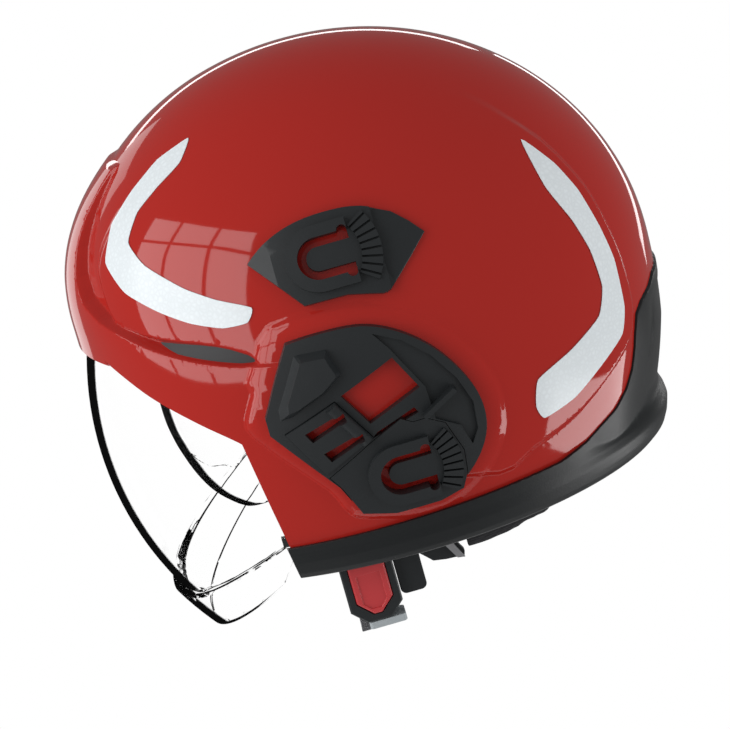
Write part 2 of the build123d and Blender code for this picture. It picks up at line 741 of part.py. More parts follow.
def bracket_detail(solid_to, plane):
    """Cutters and raised walls of a lamp bracket, in the bracket's own plane.

    solid_to gives the solid below a height over the bracket's seat.
    """
    length = bracket_arm_length
    ring = rounded_slot(bracket_ring_radius, length) - rounded_slot(bracket_slot_radius, length + overrun)
    wall = extrude(plane * ring, amount=overrun, both=True) & solid_to(bracket_base + bracket_wall)
    slot = rounded_slot(bracket_slot_radius, length)
    for side in (1, -1):
        slot += Pos(length - keyhole_radius, side * bracket_slot_radius) * Circle(keyhole_radius)
    slot -= rounded_slot(bracket_tongue_radius, length + overrun)
    slot_cut = extrude(plane * slot, amount=overrun, both=True)
    turn = math.radians(fan_half_angle)
    far = 2 * fan_outer_radius
    fan = Circle(fan_outer_radius) - Circle(fan_inner_radius)
    fan &= make_face(Polyline((0, 0), (far * math.cos(turn), -far * math.sin(turn)), (far, 0),
                              (far * math.cos(turn), far * math.sin(turn)), close=True))
    pad = extrude(plane * fan, amount=overrun, both=True) & solid_to(bracket_base + fan_raise)
    grooves = Part()
    middle = (fan_inner_radius + fan_outer_radius) / 2
    groove = Pos(middle, 0) * Rectangle(fan_outer_radius - fan_inner_radius, fan_groove_width)
    for k in range(fan_grooves):
        angle = fan_half_angle * ((2 * k + 1) / fan_grooves - 1)
        grooves += extrude(plane * (Rot(0, 0, angle) * groove), amount=overrun, both=True)
    grooves -= solid_to(bracket_base - fan_raise / 2)
    return wall, slot_cut, pad, grooves


def lower_lamp_bracket():
    """Lower lamp bracket: seat plate, horseshoe wall and slot, tongue and grooved fan."""
    seat = cover_base - bracket_base
    origin = (shell_half_width, lower_bracket_y, lower_bracket_z)
    plane = Plane(origin=origin, x_dir=(0, 1, 0), z_dir=(1, 0, 0))
    wall, slot, pad, grooves = bracket_detail(lambda height: main_form(seat + height), plane)
    outline = side_prism(on_shell(lower_bracket_shares), cover_x, reach)
    body = outline & (main_form(cover_base) + wall + pad)
    body -= slot
    body -= grooves
    return body - main_form(surface_gap) - bowl_body(surface_gap)


leaf_top_shares = [(-0.378, 0.085), (-0.26, 0.165), (-0.12, 0.218), (0.13, 0.24), (0.30, 0.215),
                   (0.455, 0.13), (0.608, 0.0)]
leaf_low_shares = [(0.33, -0.26), (0.29, -0.27), (0.10, -0.225), (-0.14, -0.22)]


def bowl_skin(grow):
    """The left bowl's full round skin, grown outwards."""
    return main_form(bowl_proud + grow, bowl_top_proud + grow) & front_form(bowl_proud + grow - brow_proud)


def upper_lamp_bracket():
    """Upper lamp bracket: a leaf shaped plate that thins to its tips, with the same horseshoe and fan."""
    tilt = math.radians(upper_bracket_tilt)
    plane = Plane(origin=(upper_bracket_x, upper_bracket_y, upper_bracket_z), x_dir=(0, 1, 0),
                  z_dir=(math.cos(tilt), 0, math.sin(tilt)))
    length = upper_bracket_length
    top = sized(leaf_top_shares, length, length)
    low = sized(leaf_low_shares, length, length)
    leaf = make_face(Spline(top) + Polyline([top[-1]] + low + [top[0]]))
    outline = extrude(plane * leaf, amount=overrun, both=True)
    body = outline & bowl_skin(bracket_base)
    for start, side in ((leaf_rear_start, 1), (leaf_front_start, -1)):
        tip = Pos(start, 0, leaf_height) * Rot(0, side * leaf_angle, 0) * Pos(side * length / 2, 0, length / 2)
        body -= plane * (tip * Box(length, length, length))
    wall, slot, pad, grooves = bracket_detail(bowl_skin, plane)
    body += outline & (wall + pad)
    body -= slot
    body -= grooves
    return body - bowl_skin(surface_gap)


def strap_anchors():
    """Two blocks on the shell's inner wall that hold the left strap's ends."""
    blocks = Part()
    for y in (anchor_front_y, anchor_rear_y):
        low = (strap_x, y - anchor_length / 2, anchor_z - anchor_height / 2)
        high = (reach, y + anchor_length / 2, anchor_z + anchor_height / 2)
        hole = disc_x(pin_radius / 2, strap_x, strap_x + 2 * pin_radius, y, anchor_z)
        blocks += (block(low, high) & main_form(-shell_wall - surface_gap)) - hole
    return blocks


# Rear leg of the strap in shares of the anchor's distance behind the front leg and of the leg's drop
rear_leg_shares = [(0.88, 1.0), (1.12, 1.0), (1.16, 0.5), (0.40, 0.0), (0.0, 0.0), (0.0, 0.55)]


def webbing():
    """Left strap: the front leg down to the buckle and the rear leg that joins it."""
    inner_x = strap_x - surface_gap - strap_thickness
    low_z = buckle_top_z + surface_gap
    drop = anchor_z + anchor_height / 2 - low_z
    half = strap_width / 2
    outer_x = inner_x + strap_thickness
    front = block((inner_x, buckle_y - half, low_z), (outer_x, buckle_y + half, low_z + drop))
    side = sized(rear_leg_shares, anchor_rear_y - buckle_y - half, drop, buckle_y + half, low_z)
    return front + side_prism(side, inner_x, outer_x)


divider_inner_x = strap_x - 2 * surface_gap - strap_thickness - divider_thickness
divider_front_y = buckle_y + buckle_width / 2 + surface_gap
divider_rear_y = divider_front_y + divider_width


def strap_divider():
    """Flat plate that joins the two legs of the left strap behind the buckle."""
    plate = block((divider_inner_x, divider_front_y, divider_low_z),
                  (divider_inner_x + divider_thickness, divider_rear_y, divider_high_z))
    return fillet(plate.edges().filter_by(Axis.X), divider_corner)


# Side view of the slider in shares of its length and height
slider_shares = [(0.0, 1.0), (0.0, 0.27), (0.26, 0.06), (0.55, 0.02), (0.97, 0.0), (1.0, 0.1),
                 (0.78, 0.42), (0.72, 1.0)]
bar_shares = [(0.48, 1.0), (0.50, 0.45), (0.80, 0.02), (0.97, 0.0), (0.70, 0.45), (0.68, 1.0)]


def slider_side(shares, x_from, x_to):
    """A prism of a side view outline in the slider's own shares."""
    front_y = divider_rear_y + surface_gap
    return side_prism(sized(shares, slider_length, slider_height, front_y, slider_z), x_from, x_to)


def strap_slider():
    """Dark loop behind the divider that gathers the rear leg."""
    return slider_side(slider_shares, divider_inner_x, divider_inner_x + divider_thickness)


def slider_bar():
    """Grey bar on the slider's outer face."""
    low_x = divider_inner_x + divider_thickness + surface_gap
    return slider_side(bar_shares, low_x, low_x + slider_bar_thickness)


def buckle_outline(width, low_z, high_z, corner):
    """Side outline of the buckle: straight sides and cut lower corners."""
    half = width / 2
    return [(buckle_y - half, high_z), (buckle_y - half, low_z + corner), (buckle_y - half + corner, low_z),
            (buckle_y + half - corner, low_z), (buckle_y + half, low_z + corner), (buckle_y + half, high_z)]


def buckle_body():
    """Buckle housing: pocket for the press tab on its outer face and a socket for the tongue below."""
    outer_x = buckle_inner_x + buckle_thickness
    outline = buckle_outline(buckle_width, buckle_low_z, buckle_top_z, buckle_corner)
    body = side_prism(outline, buckle_inner_x, outer_x)
    body = chamfer(body.faces().sort_by(Axis.X)[-1].edges(), tab_proud)
    pocket = buckle_outline(tab_width + 2 * surface_gap, tab_low_z - surface_gap,
                            tab_low_z + tab_length + surface_gap, buckle_corner)
    pocket_x = outer_x - tab_thickness + tab_proud - tab_travel - surface_gap
    body -= side_prism(pocket, pocket_x, reach)
    middle = buckle_inner_x + tongue_depth_share * buckle_thickness
    half = tongue_shank_width / 2 + surface_gap
    deep = tongue_shank_thickness / 2 + surface_gap
    body -= block((middle - deep, buckle_y - half, buckle_low_z - overrun),
                  (middle + deep, buckle_y + half, buckle_low_z + tongue_shank_length + surface_gap))
    return body


def press_tab():
    """Red press tab in the buckle's pocket, with its thumb recess."""
    outer_x = buckle_inner_x + buckle_thickness + tab_proud
    outline = buckle_outline(tab_width, tab_low_z, tab_low_z + tab_length, buckle_corner)
    tab = side_prism(outline, outer_x - tab_thickness, outer_x)
    tab = chamfer(tab.faces().sort_by(Axis.X)[-1].edges(), tab_proud)
    inset = tab_inset_share * tab_width
    hollow = buckle_outline(tab_width - 2 * inset, tab_low_z + inset,
                            tab_low_z + tab_hollow_share * tab_length, buckle_corner / 2)
    return tab - side_prism(hollow, outer_x - tab_proud, reach)


def buckle_tongue():
    """Grey tongue: the foot plate below the buckle and the shank in its socket."""
    middle = buckle_inner_x + tongue_depth_share * buckle_thickness
    top = buckle_low_z - surface_gap
    half = buckle_width / 2 - surface_gap
    foot = block((buckle_inner_x, buckle_y - half + buckle_corner, top - tongue_height),
                 (buckle_inner_x + buckle_thickness - tab_proud, buckle_y + half, top))
    foot = fillet(foot.edges().filter_by(Axis.Z), tongue_height / 2)
    deep = tongue_shank_thickness / 2
    half = tongue_shank_width / 2
    shank = block((middle - deep, buckle_y - half, top),
                  (middle + deep, buckle_y + half, top + tongue_shank_length))
    return foot + shank


# Path of the chin band in front view, in shares of the left end's width and of the lowest height
chin_shares = [(0.71, 0.965), (0.0, 1.0), (-0.69, 0.915), (-0.96, 0.72)]


def chin_sleeve(thickness, width):
    """A strip of a thickness and a width along the path under the chin."""
    left = (buckle_inner_x + buckle_thickness / 2,
            buckle_low_z - 2 * surface_gap - tongue_height - strap_thickness / 2)
    right = (-(strap_x - surface_gap - strap_thickness / 2), buckle_top_z)
    path = Spline([left] + sized(chin_shares, left[0], chin_low_z) + [right])
    strip = extrude(Plane.XZ * trace(path, thickness), amount=width)
    return Pos(0, buckle_y + width / 2, 0) * strip


def chin_band():
    """Webbing from the tongue under the chin up to the right strap."""
    return chin_sleeve(strap_thickness, strap_width)


def chin_pad():
    """Soft sleeve round the middle of the chin band."""
    room = chin_sleeve(strap_thickness + 2 * surface_gap, strap_width + 2 * surface_gap)
    body = chin_sleeve(strap_thickness + chin_pad_thickness, chin_pad_width) - room
    return body & block((-chin_pad_half_width, -reach, -reach), (chin_pad_half_width, reach, reach))


def collect():
    """Every piece by its name."""
    found = {
        "outer_shell": outer_shell(),
        "neck_guard": neck_guard(),
        "face_shield": face_shield(),
        "ocular_visor": ocular_visor(),
        "impact_liner": impact_liner(),
        "crown_pad": crown_pad(),
        "headband": headband(),
        "brow_pad": brow_pad(),
        "nape_band": nape_band(),
        "nape_pad": nape_pad(),
        "ratchet_housing": ratchet_housing(),
        "ratchet_knob": ratchet_knob(),
        "buckle_body": buckle_body(),
        "press_tab": press_tab(),
        "buckle_tongue": buckle_tongue(),
        "chin_band": chin_band(),
        "chin_pad": chin_pad(),
        "pivot_screws": Part() + both_sides(pivot_screw()),
    }
    paired = {
        "neck_pad": neck_pad(),
        "front_sticker": sticker(front_sticker_shares),
        "rear_sticker": sticker(rear_sticker_shares),
        "side_cover": side_cover(),
        "adapter_clip": adapter_clip(),
        "lower_lamp_bracket": lower_lamp_bracket(),
        "upper_lamp_bracket": upper_lamp_bracket(),
        "shield_hinge": shield_hinge(),
        "shield_hook": shield_hook(),
        "pivot_mount": pivot_mount(),
        "ocular_arm": ocular_arm(),
        "ocular_mount": ocular_mount(),
        "strap_anchors": strap_anchors(),
        "webbing": webbing(),
        "strap_divider": strap_divider(),
        "strap_slider": strap_slider(),
        "slider_bar": slider_bar(),
    }
    for name, solid in paired.items():
        left, right = both_sides(solid)
        found[name + "_left"] = left
        found[name + "_right"] = right
    return found


for name, solid in collect().items():
    export_step(solid, f"parts/{name}.step")
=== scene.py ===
"""Looks of a jet style fire helmet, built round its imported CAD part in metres."""

import json
import logging
import math
from dataclasses import dataclass
from enum import Enum
from typing import Callable, Iterable, Protocol, Sequence

import bmesh
import bpy
import numpy as np
from mathutils import Matrix, Vector
from mathutils.geometry import delaunay_2d_cdt


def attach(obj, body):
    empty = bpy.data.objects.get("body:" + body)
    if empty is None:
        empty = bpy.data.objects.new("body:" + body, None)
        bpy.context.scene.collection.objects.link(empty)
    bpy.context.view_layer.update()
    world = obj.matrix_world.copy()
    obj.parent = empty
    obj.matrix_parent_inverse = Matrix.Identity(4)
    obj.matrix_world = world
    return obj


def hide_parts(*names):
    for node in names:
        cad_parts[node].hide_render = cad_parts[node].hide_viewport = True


LOG = logging.getLogger("fire_helmet")
MM = 0.001
# Millimetres: past every side of the helmet, for cutting bodies
FAR = 300.0
# Millimetres: stands for a distance that plays no part
NONE_NEAR = 99.0
Points = Sequence[tuple[float, float]]
Span = tuple[float, float]


class Side(Enum):
    """Which side of the helmet a paired piece is on."""

    LEFT = 1
    RIGHT = -1


class Grain(Enum):
    """Surface structures that a finish can carry."""

    NONE = "none"
    FINE = "fine"
    WEAVE = "weave"
    CELLS = "cells"


class Assembly(Protocol):
    """A sub-assembly of the helmet that builds its own pieces."""

    def build(self) -> list[bpy.types.Object]:
        """Build and dress the pieces and return them."""


# ---- Finishes ----
GRAIN_DETAIL = 3.0
GRAIN_SHADE: Span = (0.88, 1.08)
WEAVE_DISTORTION = 0.4


@dataclass(frozen=True)
class Finish:
    """An opaque finish: its colour and gloss, a clear coat and a fine structure."""

    name: str
    colour: tuple[float, float, float]
    roughness: float
    metallic: float = 0.0
    coat: float = 0.0
    coat_roughness: float = 0.03
    grain: Grain = Grain.NONE
    grain_scale: float = 900.0
    grain_depth: float = 0.05
    specular: float = 0.5

    def build(self) -> bpy.types.Material:
        """Make the material once and return it.

        Returns:
            The finished material.
        """
        known = bpy.data.materials.get(self.name)
        if known:
            return known
        material = bpy.data.materials.new(self.name)
        material.use_nodes = True
        tree = material.node_tree
        shader = tree.nodes["Principled BSDF"]
        shader.inputs["Base Color"].default_value = (*self.colour, 1.0)
        shader.inputs["Roughness"].default_value = self.roughness
        shader.inputs["Metallic"].default_value = self.metallic
        shader.inputs["Coat Weight"].default_value = self.coat
        shader.inputs["Coat Roughness"].default_value = self.coat_roughness
        shader.inputs["Specular IOR Level"].default_value = self.specular
        if self.grain is not Grain.NONE:
            place = tree.nodes.new("ShaderNodeTexCoord")
            grain = tree.nodes.new("ShaderNodeGroup")
            grain.node_tree = surface_group(self.grain)
            grain.inputs["Scale"].default_value = self.grain_scale
            grain.inputs["Colour"].default_value = (*self.colour, 1.0)
            grain.inputs["Roughness"].default_value = self.roughness
            bump = tree.nodes.new("ShaderNodeBump")
            bump.inputs["Strength"].default_value = self.grain_depth
            bump.inputs["Distance"].default_value = MM
            tree.links.new(place.outputs["Object"], grain.inputs["Place"])
            tree.links.new(grain.outputs["Height"], bump.inputs["Height"])
            tree.links.new(bump.outputs["Normal"], shader.inputs["Normal"])
            tree.links.new(grain.outputs["Colour"], shader.inputs["Base Color"])
            tree.links.new(grain.outputs["Roughness"], shader.inputs["Roughness"])
        return material


def surface_group(kind: Grain) -> bpy.types.NodeTree:
    """Make or find the node group of a fine surface structure.

    Args:
        kind: The structure: moulded grain, woven threads or reflective cells.

    Returns:
        A shader node group with Colour, Roughness and Height outputs.
    """
    name = f"surface {kind.value}"
    known = bpy.data.node_groups.get(name)
    if known:
        return known
    group = bpy.data.node_groups.new(name, "ShaderNodeTree")
    for label, shape in (("Place", "NodeSocketVector"), ("Scale", "NodeSocketFloat"),
                         ("Colour", "NodeSocketColor"), ("Roughness", "NodeSocketFloat")):
        group.interface.new_socket(label, in_out="INPUT", socket_type=shape)
    for label, shape in (("Colour", "NodeSocketColor"), ("Roughness", "NodeSocketFloat"),
                         ("Height", "NodeSocketFloat")):
        group.interface.new_socket(label, in_out="OUTPUT", socket_type=shape)
    nodes, links = group.nodes, group.links
    source = nodes.new("NodeGroupInput")
    sink = nodes.new("NodeGroupOutput")
    if kind is Grain.FINE:
        noise = nodes.new("ShaderNodeTexNoise")
        noise.inputs["Detail"].default_value = GRAIN_DETAIL
        links.new(source.outputs["Place"], noise.inputs["Vector"])
        links.new(source.outputs["Scale"], noise.inputs["Scale"])
        height = noise.outputs["Fac"]
    elif kind is Grain.CELLS:
        cells = nodes.new("ShaderNodeTexVoronoi")
        cells.feature = "DISTANCE_TO_EDGE"
        links.new(source.outputs["Place"], cells.inputs["Vector"])
        links.new(source.outputs["Scale"], cells.inputs["Scale"])
        height = cells.outputs["Distance"]
    else:
        waves = []
        for axis in ("X", "Z"):
            wave = nodes.new("ShaderNodeTexWave")
            wave.bands_direction = axis
            wave.inputs["Distortion"].default_value = WEAVE_DISTORTION
            links.new(source.outputs["Place"], wave.inputs["Vector"])
            links.new(source.outputs["Scale"], wave.inputs["Scale"])
            waves.append(wave)
        mixed = nodes.new("ShaderNodeMath")
        mixed.operation = "MULTIPLY"
        links.new(waves[0].outputs["Fac"], mixed.inputs[0])
        links.new(waves[1].outputs["Fac"], mixed.inputs[1])
        height = mixed.outputs[0]
    shade = nodes.new("ShaderNodeMapRange")
    shade.inputs["To Min"].default_value, shade.inputs["To Max"].default_value = GRAIN_SHADE
    links.new(height, shade.inputs["Value"])
    tint = nodes.new("ShaderNodeVectorMath")
    tint.operation = "SCALE"
    links.new(source.outputs["Colour"], tint.inputs[0])
    links.new(shade.outputs["Result"], tint.inputs["Scale"])
    rough = nodes.new("ShaderNodeMath")
    rough.operation = "MULTIPLY"
    links.new(source.outputs["Roughness"], rough.inputs[0])
    links.new(shade.outputs["Result"], rough.inputs[1])
    links.new(tint.outputs["Vector"], sink.inputs["Colour"])
    links.new(rough.outputs["Value"], sink.inputs["Roughness"])
    links.new(height, sink.inputs["Height"])
    return group


@dataclass(frozen=True)
class ClearFinish:
    """Clear polycarbonate whose grazing edges carry painted shade: near-black lines that stand in for what
    refraction shows there.
    """

    name: str
    ior: float = 1.03
    painted_edge_from: float = 0.69
    painted_edge_to: float = 0.715
    painted_edge_shade: float = 0.004

    def build(self) -> bpy.types.Material:
        """Make the material once and return it.

        Returns:
            The finished material.
        """
        known = bpy.data.materials.get(self.name)
        if known:
            return known
        material = bpy.data.materials.new(self.name)
        material.use_nodes = True
        nodes, links = material.node_tree.nodes, material.node_tree.links
        shader = nodes["Principled BSDF"]
        shader.inputs["Base Color"].default_value = (1.0, 1.0, 1.0, 1.0)
        shader.inputs["Roughness"].default_value = 0.0
        shader.inputs["IOR"].default_value = self.ior
        shader.inputs["Transmission Weight"].default_value = 1.0
        # Painted shade: where the face turns edge-on to the view, a near-black diffuse is mixed in, so
        # grazing edges show as painted lines
        facing = nodes.new("ShaderNodeLayerWeight")
        facing.inputs["Blend"].default_value = 0.5
        ramp = nodes.new("ShaderNodeMapRange")
        ramp.inputs["From Min"].default_value = self.painted_edge_from
        ramp.inputs["From Max"].default_value = self.painted_edge_to
        links.new(facing.outputs["Facing"], ramp.inputs["Value"])
        painted_edge_shade = nodes.new("ShaderNodeBsdfDiffuse")
        painted_edge_shade.inputs["Color"].default_value = (self.painted_edge_shade, self.painted_edge_shade, self.painted_edge_shade, 1.0)
        edged = nodes.new("ShaderNodeMixShader")
        links.new(ramp.outputs["Result"], edged.inputs["Fac"])
        links.new(shader.outputs["BSDF"], edged.inputs[1])
        links.new(painted_edge_shade.outputs["BSDF"], edged.inputs[2])
        path = nodes.new("ShaderNodeLightPath")
        mix = nodes.new("ShaderNodeMixShader")
        through = nodes.new("ShaderNodeBsdfTransparent")
        sink = nodes["Material Output"]
        links.new(path.outputs["Is Shadow Ray"], mix.inputs["Fac"])
        links.new(edged.outputs["Shader"], mix.inputs[1])
        links.new(through.outputs["BSDF"], mix.inputs[2])
        links.new(mix.outputs["Shader"], sink.inputs["Surface"])
        return material


RED_LACQUER = Finish("red lacquer", (0.44, 0.020, 0.014), 0.05)
SHELL_INSIDE = Finish("shell inside", (0.035, 0.035, 0.037), 0.6, grain=Grain.FINE, grain_depth=0.1)
BLACK_PLASTIC = Finish("black plastic", (0.020, 0.023, 0.025), 0.42, grain=Grain.FINE, grain_scale=1500.0)
BLACK_RUBBER = Finish("black rubber", (0.010, 0.012, 0.013), 0.40, grain=Grain.FINE, grain_scale=1100.0)
REFLECTIVE = Finish("reflective film", (0.90, 0.96, 0.99), 0.25, grain=Grain.CELLS, grain_scale=420.0,
                    grain_depth=0.03)
TAB_RED = Finish("press tab red", (0.58, 0.045, 0.05), 0.3, coat=0.4, coat_roughness=0.1)
GREY_PLASTIC = Finish("tongue grey", (0.42, 0.46, 0.48), 0.35, grain=Grain.FINE)
STEEL = Finish("steel", (0.55, 0.56, 0.58), 0.28, metallic=1.0)
FOAM = Finish("hard foam", (0.018, 0.018, 0.020), 0.85, grain=Grain.FINE, grain_scale=500.0, grain_depth=0.3)
PADDING = Finish("padding cloth", (0.020, 0.020, 0.023), 0.9, grain=Grain.WEAVE, grain_scale=260.0,
                 grain_depth=0.35)
WEBBING = Finish("webbing", (0.018, 0.019, 0.021), 0.8, grain=Grain.WEAVE, grain_scale=330.0,
                 grain_depth=0.5)
WEBBING_THREAD = Finish("strap thread", (0.05, 0.052, 0.055), 0.7)
PALE_FLOOR = Finish("pale floor", (0.8, 0.8, 0.8), 0.7)
CLEAR = ClearFinish("clear polycarbonate")
# The inner face gets the same painted edge shade, but only at the most grazing angles
CLEAR_INSIDE = ClearFinish("clear polycarbonate inner face", painted_edge_from=0.97, painted_edge_to=0.99)


# ---- Mesh helpers ----
def make_object(name: str, points: np.ndarray, faces: Iterable[Sequence[int]],
                material: bpy.types.Material) -> bpy.types.Object:
    """Make a mesh object from points in millimetres.

    Args:
        name: The object's name.
        points: Vertices in millimetres in the helmet's frame.
        faces: Faces as lists of indices.
        material: The only material.

    Returns:
        The new object, at the origin, linked to the scene.
    """
    mesh = bpy.data.meshes.new(name)
    mesh.from_pydata((np.asarray(points) * MM).tolist(), [], [list(face) for face in faces])
    mesh.materials.append(material)
    mesh.validate()
    made = bpy.data.objects.new(name, mesh)
    bpy.context.scene.collection.objects.link(made)
    return made


def grid_faces(rows: int, columns: int, closed: bool, start: int = 0, flip: bool = False) -> list[list[int]]:
    """List the quads of a grid of points.

    Args:
        rows: Number of rows of points.
        columns: Number of points in a row.
        closed: Whether each row closes on itself.
        start: Index of the grid's first point.
        flip: Whether to turn the faces round.

    Returns:
        The quads.
    """
    quads = []
    for i in range(rows - 1):
        for j in range(columns if closed else columns - 1):
            k = (j + 1) % columns
            quad = [start + i * columns + j, start + i * columns + k,
                    start + (i + 1) * columns + k, start + (i + 1) * columns + j]
            quads.append(quad[::-1] if flip else quad)
    return quads


def apply_modifiers(subject: bpy.types.Object) -> None:
    """Turn an object's live modifiers into its mesh.

    Args:
        subject: The object to change.
    """
    graph = bpy.context.evaluated_depsgraph_get()
    fresh = bpy.data.meshes.new_from_object(subject.evaluated_get(graph))
    old = subject.data
    subject.modifiers.clear()
    subject.data = fresh
    fresh.name = old.name
    bpy.data.meshes.remove(old)


def cut(subject: bpy.types.Object, tool: bpy.types.Object, operation: str = "DIFFERENCE",
        paint: bool = False) -> None:
    """Cut an object with another, which is then removed.

    Args:
        subject: The object to change.
        tool: The cutting body.
        operation: The boolean operation.
        paint: Whether the faces left by the tool take its material.
    """
    step = subject.modifiers.new("cut", "BOOLEAN")
    if paint:
        step.material_mode = "TRANSFER"
    step.object = tool
    step.operation = operation
    step.solver = "EXACT"
    apply_modifiers(subject)
    bpy.data.objects.remove(tool, do_unlink=True)


def prism(outline: Points, low: float, high: float, axis: str = "X") -> bpy.types.Object:
    """Make a closed prism of a flat outline.

    Args:
        outline: Points in millimetres, (y, z) for axis X and (x, z) for axis Y.
        low: Where the prism starts along its axis.
        high: Where it ends.
        axis: The prism's axis.

    Returns:
        A cutting body with outward faces.
    """
    count = len(outline)
    points = []
    for level in (low, high):
        for u, v in outline:
            points.append((level, u, v) if axis == "X" else (u, level, v))
    faces: list[list[int]] = [list(range(count)), list(range(count, 2 * count))]
    faces += [[i, (i + 1) % count, (i + 1) % count + count, i + count] for i in range(count)]
    body = make_object("tool", np.array(points), faces, RED_LACQUER.build())
    outward(body)
    return body


def outward(subject: bpy.types.Object) -> None:
    """Point a closed mesh's faces outwards.

    Args:
        subject: The object that holds the mesh.
    """
    mesh = bmesh.new()
    mesh.from_mesh(subject.data)
    bmesh.ops.recalc_face_normals(mesh, faces=mesh.faces)
    mesh.to_mesh(subject.data)
    mesh.free()


def smooth(subject: bpy.types.Object, degrees: float = 35.0) -> None:
    """Shade an object smooth, apart from edges sharper than an angle."""
    subject.data.polygons.foreach_set("use_smooth", [True] * len(subject.data.polygons))
    subject.data.set_sharp_from_angle(angle=math.radians(degrees))


def rounded(subject: bpy.types.Object, width: float, degrees: float = 30.0, segments: int = 2) -> None:
    """Round an object's sharp edges.

    Args:
        subject: The object.
        width: Width of the rounding in millimetres.
        degrees: Edges sharper than this angle are rounded.
        segments: Steps across a rounding.
    """
    step = subject.modifiers.new("round", "BEVEL")
    step.width = width * MM
    step.segments = segments
    step.limit_method = "ANGLE"
    step.angle_limit = math.radians(degrees)
    step.use_clamp_overlap = True
    step.harden_normals = True
    apply_modifiers(subject)


def merged_copy(node: str, name: str, finish: Finish) -> bpy.types.Object:
    """Copy a CAD node as a new object and merge its loose triangles.

    Args:
        node: The CAD node.
        name: The new object's name.
        finish: Its finish.

    Returns:
        The copy, at the origin.
    """
    source = FRAME["nodes"][node]
    made = source.copy()
    made.data = source.data.copy()
    made.name = name
    made.parent = None
    made.matrix_world = Matrix.Identity(4)
    bpy.context.scene.collection.objects.link(made)
    mesh = bmesh.new()
    mesh.from_mesh(made.data)
    bmesh.ops.remove_doubles(mesh, verts=mesh.verts, dist=0.02 * MM)
    mesh.to_mesh(made.data)
    mesh.free()
    made.data.materials.clear()
    made.data.materials.append(finish.build())
    return made


def softened_copy(node: str, finish: Finish, width: float, degrees: float = 30.0,
                  piece_name: str = "") -> bpy.types.Object:
    """Copy a CAD node, merge its loose triangles and round its edges.

    Args:
        node: The CAD node.
        finish: The piece's finish.
        width: Width of the rounding in millimetres.
        degrees: Edges sharper than this angle are rounded.
        piece_name: Name of the new piece.

    Returns:
        The piece that stands for the node.
    """
    made = merged_copy(node, piece_name or f"{node}_shaped", finish)
    mesh = bmesh.new()
    mesh.from_mesh(made.data)
    bmesh.ops.dissolve_limit(mesh, angle_limit=math.radians(1.0), verts=mesh.verts, edges=mesh.edges)
    mesh.to_mesh(made.data)
    mesh.free()
    made.data.polygons.foreach_set("use_smooth", [True] * len(made.data.polygons))
    rounded(made, width, degrees)
    smooth(made)
    step = made.modifiers.new("weighted", "WEIGHTED_NORMAL")
    step.keep_sharp = True
    apply_modifiers(made)
    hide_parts(node)
    return made


def smooth_min(a: np.ndarray, b: np.ndarray, width: float) -> np.ndarray:
    """Blend the lower of two fields with a rounded crease of a width."""
    blend = np.clip(width - np.abs(a - b), 0.0, None) / width
    return np.minimum(a, b) - blend * blend * width / 4.0


def smooth_step(value: np.ndarray, low: float, high: float) -> np.ndarray:
    """Rise smoothly from 0 to 1 between two values."""
    t = np.clip((value - low) / (high - low), 0.0, 1.0)
    return t * t * (3.0 - 2.0 * t)


def signed_distance(u: np.ndarray, v: np.ndarray, outline: Points, closed: bool = True) -> np.ndarray:
    """Distance of points from an outline, positive inside.

    Args:
        u: First coordinates.
        v: Second coordinates.
        outline: Corners of the outline.
        closed: Whether the outline closes and has an inside.

    Returns:
        The distances.
    """
    points = np.array(outline)
    ends = np.roll(points, -1, axis=0)
    if not closed:
        points, ends = points[:-1], ends[:-1]
    best = np.full(u.shape, 1e9)
    inside = np.zeros(u.shape, dtype=bool)
    for (u0, v0), (u1, v1) in zip(points, ends):
        du, dv = u1 - u0, v1 - v0
        share = np.clip(((u - u0) * du + (v - v0) * dv) / (du * du + dv * dv + 1e-12), 0.0, 1.0)
        best = np.minimum(best, np.hypot(u - u0 - share * du, v - v0 - share * dv))
        if closed and v1 != v0:
            crossing = ((v0 > v) != (v1 > v)) & (u < (u1 - u0) * (v - v0) / (v1 - v0) + u0)
            inside ^= crossing
    return np.where(inside, best, -best) if closed else best


def rounded_outline(outline: Points, per_edge: int = 6, tension: float = 0.5) -> list[tuple[float, float]]:
    """Pass a smooth closed curve through an outline's corners.

    Args:
        outline: The corners.
        per_edge: Points for each edge.
        tension: How round the curve runs, 0 for straight edges.

    Returns:
        Points along the curve.
    """
    corners = np.array(outline)
    count = len(corners)
    curve = []
    for i in range(count):
        p0, p1, p2, p3 = (corners[(i + k) % count] for k in (-1, 0, 1, 2))
        for step in range(per_edge):
            t = step / per_edge
            m1, m2 = tension * (p2 - p0), tension * (p3 - p1)
            point = ((2 * t**3 - 3 * t**2 + 1) * p1 + (t**3 - 2 * t**2 + t) * m1
                     + (-2 * t**3 + 3 * t**2) * p2 + (t**3 - t**2) * m2)
            curve.append((float(point[0]), float(point[1])))
    return curve


